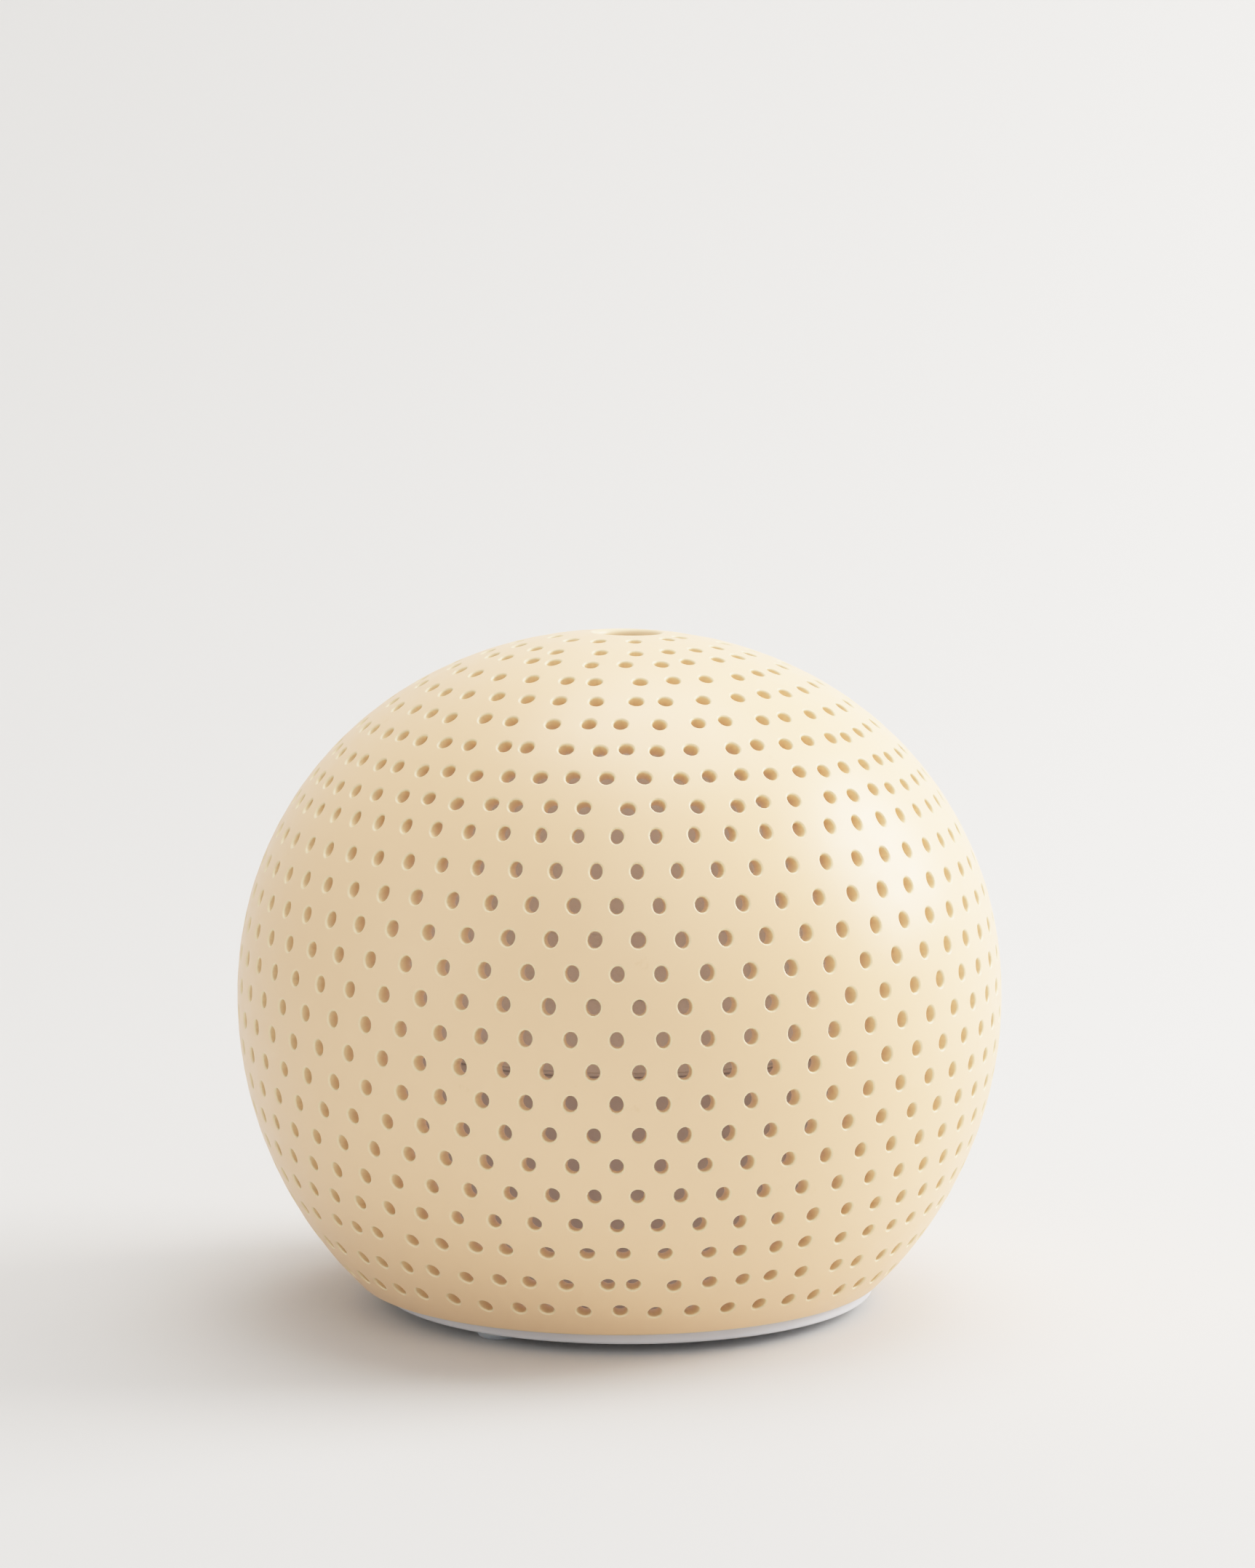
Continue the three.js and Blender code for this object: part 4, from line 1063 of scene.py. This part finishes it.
def base_plate():
    """The round plate with its spigot, pillars, vent, seats and screw holes."""
    high = span("base_plate")[1]
    edge = high.x - PLATE_ROUND
    housing = span("housing")[1].x
    spigot = housing - HOUSING_WALL - SLIP
    board_low = span("main_board")[0].z
    fan_low = span("fan_frame")[0].z
    pillar_top = PLATE_TOP + SPIGOT_HEIGHT
    plate = turned([
        (0, PLATE_LOW),
        *arc(edge, PLATE_LOW + PLATE_ROUND, PLATE_ROUND, PLATE_ROUND, -90, 0),
        *arc(edge, PLATE_TOP - PLATE_ROUND / 2, PLATE_ROUND, PLATE_ROUND / 2, 0, 90, 5),
        (0, PLATE_TOP),
    ])
    sunk = PLATE_TOP - SUNK
    ring = sleeve(spigot - SPIGOT_WALL, spigot, sunk, pillar_top)
    behind_panel = rounded(4 * housing, 10, 1)
    panel_side = extruded(behind_panel, PLATE_TOP, high.z + 1, 0, PANEL_INNER - SLIP + 5)
    ring = worked(ring, cut=[panel_side])
    posts = [ring] + [post(node, PILLAR_RADIUS, sunk, board_low) for node in BOARD_SCREWS]
    fan = middle("fan_frame")
    for x in (-FAN_PILLAR_REACH, FAN_PILLAR_REACH):
        for y in (-FAN_PILLAR_REACH, FAN_PILLAR_REACH):
            posts.append(rod(FAN_PILLAR_RADIUS, sunk, fan_low, fan.x + x, fan.y + y))
    cuts = list(vent_slots())
    for node in FEET:
        cuts.append(post(node, FOOT_RADIUS + 0.2, PLATE_LOW - 1, span(node)[1].z))
    for node in HOUSING_SCREWS:
        cuts.append(post(node, SCREW_HEAD + 0.4, PLATE_LOW - 1, span(node)[0].z + HEAD_HEIGHT))
        cuts.append(post(node, SCREW_SHANK, PLATE_LOW, pillar_top + 1))
    for node in (*BOARD_SCREWS, *FAN_SCREWS):
        cuts.append(post(node, SMALL_SHANK, span(node)[0].z, board_low + 1))
    label_low, label_high = span("rating_label")
    size = label_high - label_low
    place = middle("rating_label")
    seat = rounded(size.x + LABEL_ROOM, size.y + LABEL_ROOM, LABEL_CORNER + LABEL_ROOM / 2)
    cuts.append(extruded(seat, PLATE_LOW - 1, label_high.z, place.x, place.y))
    groove_top = PLATE_LOW + VENT_RING_DEPTH
    cuts.append(sleeve(VENT_RING, VENT_RING + VENT_RING_WIDTH, PLATE_LOW - 1, groove_top, fan.x, fan.y))
    shown(worked(plate, add=posts, cut=cuts, bevel=0.16), "moulded_base", "base_plate")


def feet():
    """Silicone pads with a round edge and a shallow hollow underneath."""
    for node in FEET:
        place, top = middle(node), span(node)[1].z
        edge = FOOT_RADIUS - FOOT_ROUND
        foot = turned([
            (0, FOOT_HOLLOW),
            (edge - 1.3, FOOT_HOLLOW),
            *arc(edge - 0.65, 0.18, 0.65, 0.18, 165, 270, 4),
            *arc(edge, FOOT_ROUND, FOOT_ROUND, FOOT_ROUND, -85, 0),
            (FOOT_RADIUS, top - 0.02),
            (0, top - 0.02),
        ], place.x, place.y, sides=64)
        shown(worked(foot, bevel=0.08), f"pad_{node}", node)


def rating_label():
    """The blank film in its seat under the plate."""
    low, high = span("rating_label")
    size, place = high - low, middle("rating_label")
    film = extruded(rounded(size.x, size.y, LABEL_CORNER), low.z, high.z, place.x, place.y)
    shown(worked(film, bevel=0.06), "blank_label", "rating_label")


def screws():
    """Pan-head screws with a cross recess."""
    for node in (*HOUSING_SCREWS, *BOARD_SCREWS, *FAN_SCREWS, *TRANSDUCER_SCREWS):
        large = node in HOUSING_SCREWS
        low, high = span(node)
        place = middle(node)
        head = SCREW_HEAD if large else SMALL_HEAD
        shank = (SCREW_SHANK if large else SMALL_SHANK) - 0.25
        thick = HEAD_HEIGHT if large else SMALL_HEAD_HEIGHT
        upwards = large or node.startswith("transducer")
        back, tip = (low.z, high.z) if upwards else (high.z, low.z)
        sign = 1 if upwards else -1
        seat = back + sign * thick
        body = turned([
            (0, back),
            (head * HEAD_FLAT, back),
            *arc(head * HEAD_FLAT, seat, head * (1 - HEAD_FLAT), back - seat, 90, 0, 6),
            (shank, seat),
            (shank, tip - sign * shank),
            (shank * 0.35, tip),
            (0, tip),
        ], place.x, place.y, sides=40)
        cross = []
        long, short = head * CROSS_LENGTH, head * CROSS_WIDTH
        for width, depth in ((long, short), (short, long)):
            floor = back + sign * thick * CROSS_DEPTH
            reach = back - sign
            outline = rounded(width, depth, head * 0.05, 2)
            cross.append(extruded(outline, min(floor, reach), max(floor, reach), place.x, place.y))
        shown(worked(body, cut=cross, bevel=0.05), f"cross_{node}", node)


# ---------------------------------------------------------------- housing, buttons, power inlet

DECK = 2.0
PANEL_TOP = 27.0
FOOT_STEP = 0.35
FOOT_STEP_HEIGHT = 0.45
DECK_ROUND = 1.0
WELL_DEPTH = 0.35
BUTTON_WELL = 1.3
JACK_WELL = 1.5
BOSS_HEIGHT = 13.0
BUTTON_RADIUS = 3.4
BUTTON_FLANGE = 4.4
JACK_BARREL = 4.2
JACK_BORE = 2.8
JACK_PIN = 1.05
JACK_DEPTH = 9.0
JACK_MOUTH = 0.6
PLUNGER_RADIUS = 1.4
FLANGE_THICKNESS = 1.0
DISH_DEPTH = 0.2
LIGHT_WINDOW = 3.2
MARK_DEPTH = 0.75


def housing():
    """The upright shell with a deck, a flat control panel at the rear, bosses, wells and windows."""
    low, high = span("housing")
    radius, top = high.x, high.z
    inner = radius - HOUSING_WALL
    tank_hole = TANK_RADIUS + SLIP
    cup = turned([
        (inner, low.z),
        (radius - FOOT_STEP, low.z),
        (radius - FOOT_STEP, low.z + FOOT_STEP_HEIGHT),
        (radius, low.z + FOOT_STEP_HEIGHT + 0.1),
        *arc(radius - DECK_ROUND, top - DECK_ROUND, DECK_ROUND, DECK_ROUND, 0, 90, 6),
        (tank_hole, top),
        (tank_hole, top - DECK),
        (inner, top - DECK),
    ])
    panel = PANEL_INNER + HOUSING_WALL
    behind = rounded(4 * radius, 40, 1)
    segment = rod(inner + 1.0, low.z, PANEL_TOP + HOUSING_WALL, sides=SIDES)
    segment = worked(segment, cut=[extruded(behind, low.z - 1, top, 0, PANEL_INNER - 20)])
    recess = extruded(behind, low.z - 1, PANEL_TOP, 0, panel + 20)
    boss_low, boss_top = PLATE_TOP + SPIGOT_HEIGHT, PLATE_TOP + BOSS_HEIGHT
    bosses = [post(node, BOSS_RADIUS, boss_low, boss_top) for node in HOUSING_SCREWS]
    level = middle("mist_button").z
    cuts = [recess]
    wells = [(0, JACK_BARREL, JACK_WELL)]
    wells += [(middle(node).x, BUTTON_RADIUS, BUTTON_WELL) for node in ("mist_button", "light_button")]
    for x, size, margin in wells:
        cuts.append(rod(size + SLIP, PANEL_INNER - 1, panel + 1, x, 0, level))
        cuts.append(rod(size + margin, panel - WELL_DEPTH, panel + 1, x, 0, level, SIDES))
    for node in HOUSING_SCREWS:
        cuts.append(post(node, SCREW_SHANK, PLATE_TOP + 2, span(node)[1].z + 0.5))
    for k in range(1, 7):
        cuts.append(post(f"light_{k}", LIGHT_WINDOW, top - DECK - 1, top + 1))
    body = worked(cup, add=[segment, *bosses], cut=cuts, bevel=0.18)
    shown(body, "moulded_housing", "housing")


def buttons():
    """Caps with a dished face, a flange behind the panel and a plunger."""
    for node, body in (("mist_button", "mist_key"), ("light_button", "light_key")):
        low, high = span(node)
        place = middle(node)
        face, flange = high.y, PANEL_INNER - 0.2
        button = turned([
            (0, low.y),
            (PLUNGER_RADIUS, low.y),
            (PLUNGER_RADIUS, flange - FLANGE_THICKNESS),
            (BUTTON_FLANGE, flange - FLANGE_THICKNESS),
            (BUTTON_FLANGE, flange),
            (BUTTON_RADIUS, flange),
            *arc(BUTTON_RADIUS - 0.5, face - 0.5, 0.5, 0.5, 0, 90, 6),
            (BUTTON_RADIUS - 0.9, face - 0.06),
            (BUTTON_RADIUS * 0.5, face - DISH_DEPTH),
            (0, face - DISH_DEPTH),
        ], place.x, 0, place.z, sides=96)
        mark = []
        if node == "mist_button":
            drop = [*arc(0, 0, 0.75, 0.75, -200, 20, 14), (0, 1.55)]
            mark.append(lying_mark(drop, face, place))
        else:
            mark.append(lying_mark(arc(0, 0, 0.55, 0.55, 0, 345, 23), face, place))
            for k in range(8):
                turn = math.radians(45 * k)
                spoke = [(0.85, -0.1), (1.35, -0.1), (1.35, 0.1), (0.85, 0.1)]
                turned_spoke = [
                    (a * math.cos(turn) - b * math.sin(turn), a * math.sin(turn) + b * math.cos(turn))
                    for a, b in spoke
                ]
                mark.append(lying_mark(turned_spoke, face, place))
        shown(worked(button, cut=mark, bevel=0.05), f"capped_{node}", node, body)


def lying_mark(outline, face, place):
    """A tool for a shallow mark in a button's face, from points to the left and up, seen from behind."""
    ends = [[(-a, y, b) for a, b in outline] for y in (face - MARK_DEPTH, face + 1)]
    return prism(ends, place.x, 0, place.z)


def power_inlet():
    """The inlet's block and barrel, with a bore and its pin."""
    low, high = span("dc_jack")
    size, place = high - low, middle("dc_jack")
    front = PANEL_INNER - SLIP
    level = middle("mist_button").z
    body = extruded(rounded(size.x, front - low.y, 0.5), low.z, high.z, place.x, (front + low.y) / 2)
    barrel = rod(JACK_BARREL, front - 1, high.y, 0, 0, level, 96)
    bore = turned([
        (0, high.y - JACK_DEPTH),
        (JACK_BORE, high.y - JACK_DEPTH),
        (JACK_BORE, high.y - JACK_MOUTH),
        (JACK_BORE + JACK_MOUTH, high.y + 0.1),
        (JACK_BORE + JACK_MOUTH, high.y + 1),
        (0, high.y + 1),
    ], 0, 0, level, 96)
    pin = turned([
        (0, high.y - JACK_DEPTH - 1),
        (JACK_PIN, high.y - JACK_DEPTH - 1),
        (JACK_PIN, high.y - 1.4),
        (JACK_PIN * 0.6, high.y - 1),
        (0, high.y - 1),
    ], 0, 0, level, 40)
    socket = worked(body, add=[barrel], cut=[bore])
    shown(worked(socket, add=[pin], bevel=0.1), "barrel_inlet", "dc_jack")


# ---------------------------------------------------------------- water tank, gasket, cap and lid

TANK_WALL = 1.8
TANK_FLOOR = 2.0
FLANGE = 2.0
RIM_WALL = 2.0
RIM_INSET = 0.6
CHIMNEY_BORE = 4.3
CHIMNEY_WALL = 1.4
APERTURE = 6.5
EAR_RADIUS = 3.0
GASKET_WIDTH = 2.0
LID_WALL = 1.8
SPOUT_RADIUS = 6.6
SPOUT_BORE = 4.9
SPOUT_FLARE = 1.6
SPOUT_HEIGHT = 9.0
DOME_HEIGHT = 28.0
LID_SPIGOT = 4.0
EDGE_ROUND = 0.5
TANK_ROUND = 3.0
TANK_EARS = 2.0
FILL_LINE = 6.0
SEAM = 0.25
CHIMNEY_GAP = 3.2
CAP_WALL = 1.2
CAP_ROUND = 1.6
LID_SEAM = 5.0


def grooved(wall, top, height, ease):
    """Four points of a fine groove in an upright wall, from its top down."""
    floor = wall - SEAM
    return [(wall, top), (floor, top - ease), (floor, top - height + ease), (wall, top - height)]


def water_tank():
    """The basin with its flange and rim, fill line, chimney, and ears for the transducer."""
    low, high = span("water_tank")
    floor = low.z + TANK_EARS
    flange_low = span("tank_gasket")[1].z
    flange_top = flange_low + FLANGE
    outer = high.x - RIM_INSET
    wall = TANK_RADIUS - TANK_WALL
    floor_top = floor + TANK_FLOOR
    lip = high.z - EDGE_ROUND
    bend = TANK_RADIUS - TANK_ROUND
    basin = turned([
        (0, floor),
        *arc(bend, floor + TANK_ROUND, TANK_ROUND, TANK_ROUND, -90, 0),
        (TANK_RADIUS, flange_low),
        (high.x, flange_low),
        (high.x, flange_top),
        (outer, flange_top),
        *arc(outer - EDGE_ROUND, lip, EDGE_ROUND, EDGE_ROUND, 0, 90, 5),
        *arc(outer - RIM_WALL + EDGE_ROUND, lip, EDGE_ROUND, EDGE_ROUND, 90, 180, 5),
        (outer - RIM_WALL, flange_top),
        (wall, flange_top),
        *grooved(wall, flange_top - FILL_LINE, 1.0, 0.3),
        *arc(bend, floor_top + 2, TANK_ROUND - TANK_WALL, 2, 0, -90),
        (0, floor_top),
    ])
    chimney_top = span("chimney_cap")[1].z - CHIMNEY_GAP
    chimney = post("chimney_cap", CHIMNEY_BORE + CHIMNEY_WALL, floor_top - 0.5, chimney_top, 64)
    ears, cuts = [], []
    for node in TRANSDUCER_SCREWS:
        ears.append(post(node, EAR_RADIUS, low.z, floor + 0.5))
        cuts.append(post(node, SMALL_SHANK, low.z - 1, floor_top - 0.8))
    cuts.append(post("chimney_cap", CHIMNEY_BORE, floor - 1, chimney_top + 1, 64))
    cuts.append(post("transducer_disc", APERTURE, floor - 1, floor_top + 1, 96))
    tank = worked(basin, add=[chimney, *ears], cut=cuts, bevel=0.16)
    shown(tank, "moulded_tank", "water_tank")


def tank_gasket():
    """A ring with a round outer side, between the housing's deck and the tank's flange."""
    low, high = span("tank_gasket")
    half = (high.z - low.z) / 2
    inner = high.x - GASKET_WIDTH
    bead = turned([
        (inner, low.z),
        *arc(high.x - half, low.z + half, half, half, -90, 90, 10),
        (inner, high.z),
    ])
    shown(worked(bead, bevel=0.06), "round_gasket", "tank_gasket")


def chimney_cap():
    """A bell over the chimney, with two crossed ribs that hold it up."""
    low, high = span("chimney_cap")
    place = middle("chimney_cap")
    outer = high.x - place.x
    inner = outer - CAP_WALL
    roof = high.z - CAP_WALL
    bend = CAP_ROUND / 2
    bell = turned([
        (0, roof),
        (inner - bend, roof),
        *arc(inner - bend, roof - bend, bend, bend, 90, 0, 5),
        (inner, low.z),
        (outer, low.z),
        *arc(outer - CAP_ROUND, high.z - CAP_ROUND, CAP_ROUND, CAP_ROUND, 0, 90, 8),
        (0, high.z),
    ], place.x, place.y, sides=80)
    ribs = [
        extruded(rounded(width, depth, 0.2, 2), roof - 2, roof + 0.5, place.x, place.y)
        for width, depth in ((2 * inner + 0.5, CAP_WALL), (CAP_WALL, 2 * inner + 0.5))
    ]
    shown(worked(bell, add=ribs, bevel=0.12), "moulded_cap", "chimney_cap")


def tank_lid():
    """The domed lid: spigot, flange, wall with a seam, dome and spout, and the same inside."""
    low, high = span("tank_lid")
    flange_low = low.z + LID_SPIGOT
    flange_top = flange_low + FLANGE
    wall = high.x - 2 * RIM_INSET
    spigot = high.x - RIM_INSET - RIM_WALL - SLIP
    spout_low = high.z - SPOUT_HEIGHT
    shoulder = spout_low - DOME_HEIGHT
    neck = SPOUT_RADIUS + SPOUT_FLARE
    reach = wall - neck
    lip = (SPOUT_RADIUS - SPOUT_BORE) / 2
    lid = turned([
        (spigot - LID_WALL, low.z),
        (spigot - 0.4, low.z),
        (spigot, low.z + 0.8),
        (spigot, flange_low),
        (high.x, flange_low),
        *arc(high.x - EDGE_ROUND, flange_top - EDGE_ROUND, EDGE_ROUND, EDGE_ROUND, 0, 90, 5),
        (wall + 0.25, flange_top),
        (wall, flange_top + 0.3),
        *reversed(grooved(wall, shoulder - LID_SEAM, 1.0, 0.2)),
        *arc(neck, shoulder, reach, DOME_HEIGHT, 0, 84, 32),
        *arc(neck, spout_low + SPOUT_FLARE, SPOUT_FLARE, SPOUT_FLARE * 0.9, 262, 180, 8),
        *arc(SPOUT_RADIUS - lip, high.z - lip, lip, lip, 0, 180, 12),
        (SPOUT_BORE, spout_low - LID_WALL + 1),
        *arc(neck, shoulder, reach - LID_WALL, DOME_HEIGHT - LID_WALL, 84, 0, 24),
        (wall - LID_WALL, flange_top),
        (spigot - LID_WALL, flange_low),
    ])
    shown(worked(lid, bevel=0.1), "moulded_lid", "tank_lid", "lid")


for make_pieces in (
    base_plate, feet, rating_label, screws, housing, buttons, power_inlet, water_tank, tank_gasket,
    chimney_cap, tank_lid,
):
    make_pieces()

# ---------------------------------------------------------------- stage and light

SKY_COLOR = (1.0, 0.985, 0.965)
SKY_STRENGTH = 0.84
DIFFUSE_BOUNCES = 8
MOST_BOUNCES = 12
FLOOR_COLOR = (0.61, 0.602, 0.592)
FLOOR_REACH = 14.0
FAR_FLOOR = (1.2, 4.0)
FAR_GLOW = 0.36
SWEEP_START = 0.28
SWEEP_RADIUS = 0.55
SWEEP_STEPS = 24
WALL_HEIGHT = 2.2
WALL_HALF_WIDTH = 2.4


def stage_paper():
    """Pale paper. A camera that stands behind the wall or under the floor sees through it. Far
    from the object, where the lights fall off, a low glow keeps the floor as pale as the sky."""
    m = Nodes("stage_paper")
    m.set(base_color=(*FLOOR_COLOR, 1.0), roughness=0.75, specular_ior_level=0.2)
    m.set(emission_color=(*SKY_COLOR, 1.0))
    surface = m.add("ShaderNodeNewGeometry").outputs
    away = m.add("ShaderNodeVectorMath", operation="LENGTH")
    m.link(surface["Position"], away.inputs[0])
    glow = m.map_range(away.outputs["Value"], 0.0, FAR_GLOW, *FAR_FLOOR)
    m.link(glow, m.shader.inputs["Emission Strength"])
    sides = m.add("ShaderNodeMixShader")
    m.link(surface["Backfacing"], sides.inputs[0])
    m.link(m.shader.outputs[0], sides.inputs[1])
    m.link(m.add("ShaderNodeBsdfTransparent").outputs[0], sides.inputs[2])
    m.link(sides.outputs[0], m.tree.nodes["Material Output"].inputs["Surface"])
    return m.material


def strip_of_stage(name, path, half_width, paper):
    """A sheet that is even across, from the (y, z) points of its path."""
    verts = [(x, y, z) for y, z in path for x in (-half_width, half_width)]
    faces = [(2 * k, 2 * k + 1, 2 * k + 3, 2 * k + 2) for k in range(len(path) - 1)]
    mesh = bpy.data.meshes.new(name)
    mesh.from_pydata(verts, [], faces)
    mesh.shade_smooth()
    strip = new_object(name, mesh)
    strip.data.materials.append(paper)


def make_stage():
    """A wide floor that sweeps up into a backdrop."""
    paper = stage_paper()
    sweep = arc(SWEEP_START, SWEEP_RADIUS, SWEEP_RADIUS, SWEEP_RADIUS, -90, 0, SWEEP_STEPS)
    sweep.append((SWEEP_START + SWEEP_RADIUS, WALL_HEIGHT))
    strip_of_stage("floor", [(-FLOOR_REACH, 0.0), (SWEEP_START, 0.0)], FLOOR_REACH, paper)
    strip_of_stage("backdrop", sweep, WALL_HALF_WIDTH, paper)


make_stage()


# Square lights: place and aim in metres, length of a side, power in watts, colour.
LIGHTS = {
    "key": ((1.03, 0.22, 0.62), (0.0, 0.0, 0.06), 0.7, 30.0, (1.0, 0.975, 0.94)),
    "top": ((0.2, 0.25, 1.45), (0.0, 0.0, 0.05), 1.1, 26.0, (1.0, 0.98, 0.95)),
    "front": ((0.5, -1.6, 1.3), (0.0, 0.2, 0.2), 1.5, 12.0, (1.0, 0.98, 0.95)),
    "fill": ((-1.3, -0.7, 0.5), (0.0, 0.0, 0.05), 1.0, 4.0, (1.0, 0.95, 0.86)),
}


def make_lights():
    """Soft square lights, each turned towards its aim and unseen by the camera."""
    for name, (place, aim, side, power, color) in LIGHTS.items():
        data = bpy.data.lights.new(name, "AREA")
        data.shape = "RECTANGLE"
        data.size = side
        data.size_y = side
        data.energy = power
        data.color = color
        light = new_object(name, data)
        light.location = place
        light.rotation_euler = (Vector(aim) - Vector(place)).to_track_quat("-Z", "Y").to_euler()
        light.visible_camera = False


def make_sky():
    """An even soft sky. The light inside the globe comes off its walls many times."""
    world = bpy.data.worlds.new("studio")
    world.use_nodes = True
    sky = world.node_tree.nodes["Background"].inputs
    sky["Color"].default_value = (*SKY_COLOR, 1.0)
    sky["Strength"].default_value = SKY_STRENGTH
    bpy.context.scene.world = world
    bpy.context.scene.cycles.diffuse_bounces = DIFFUSE_BOUNCES
    bpy.context.scene.cycles.max_bounces = MOST_BOUNCES


make_lights()
make_sky()

WHITE_LIGHT = 6.0
TONE_STEPS = (0.02, 0.05, 0.09, 0.14, 0.2, 0.28, 0.38, 0.52, 0.72)


def set_tone():
    """A soft shoulder, as a camera has: display = 1 - exp(-light)."""
    view = bpy.context.scene.view_settings
    view.view_transform = "Standard"
    view.use_curve_mapping = True
    mapping = view.curve_mapping
    mapping.white_level = (WHITE_LIGHT, WHITE_LIGHT, WHITE_LIGHT)
    curve = mapping.curves[3]
    for step in TONE_STEPS:
        curve.points.new(step, 1 - math.exp(-WHITE_LIGHT * step))
    curve.points[-1].location = (1.0, 1.0)
    mapping.update()


set_tone()
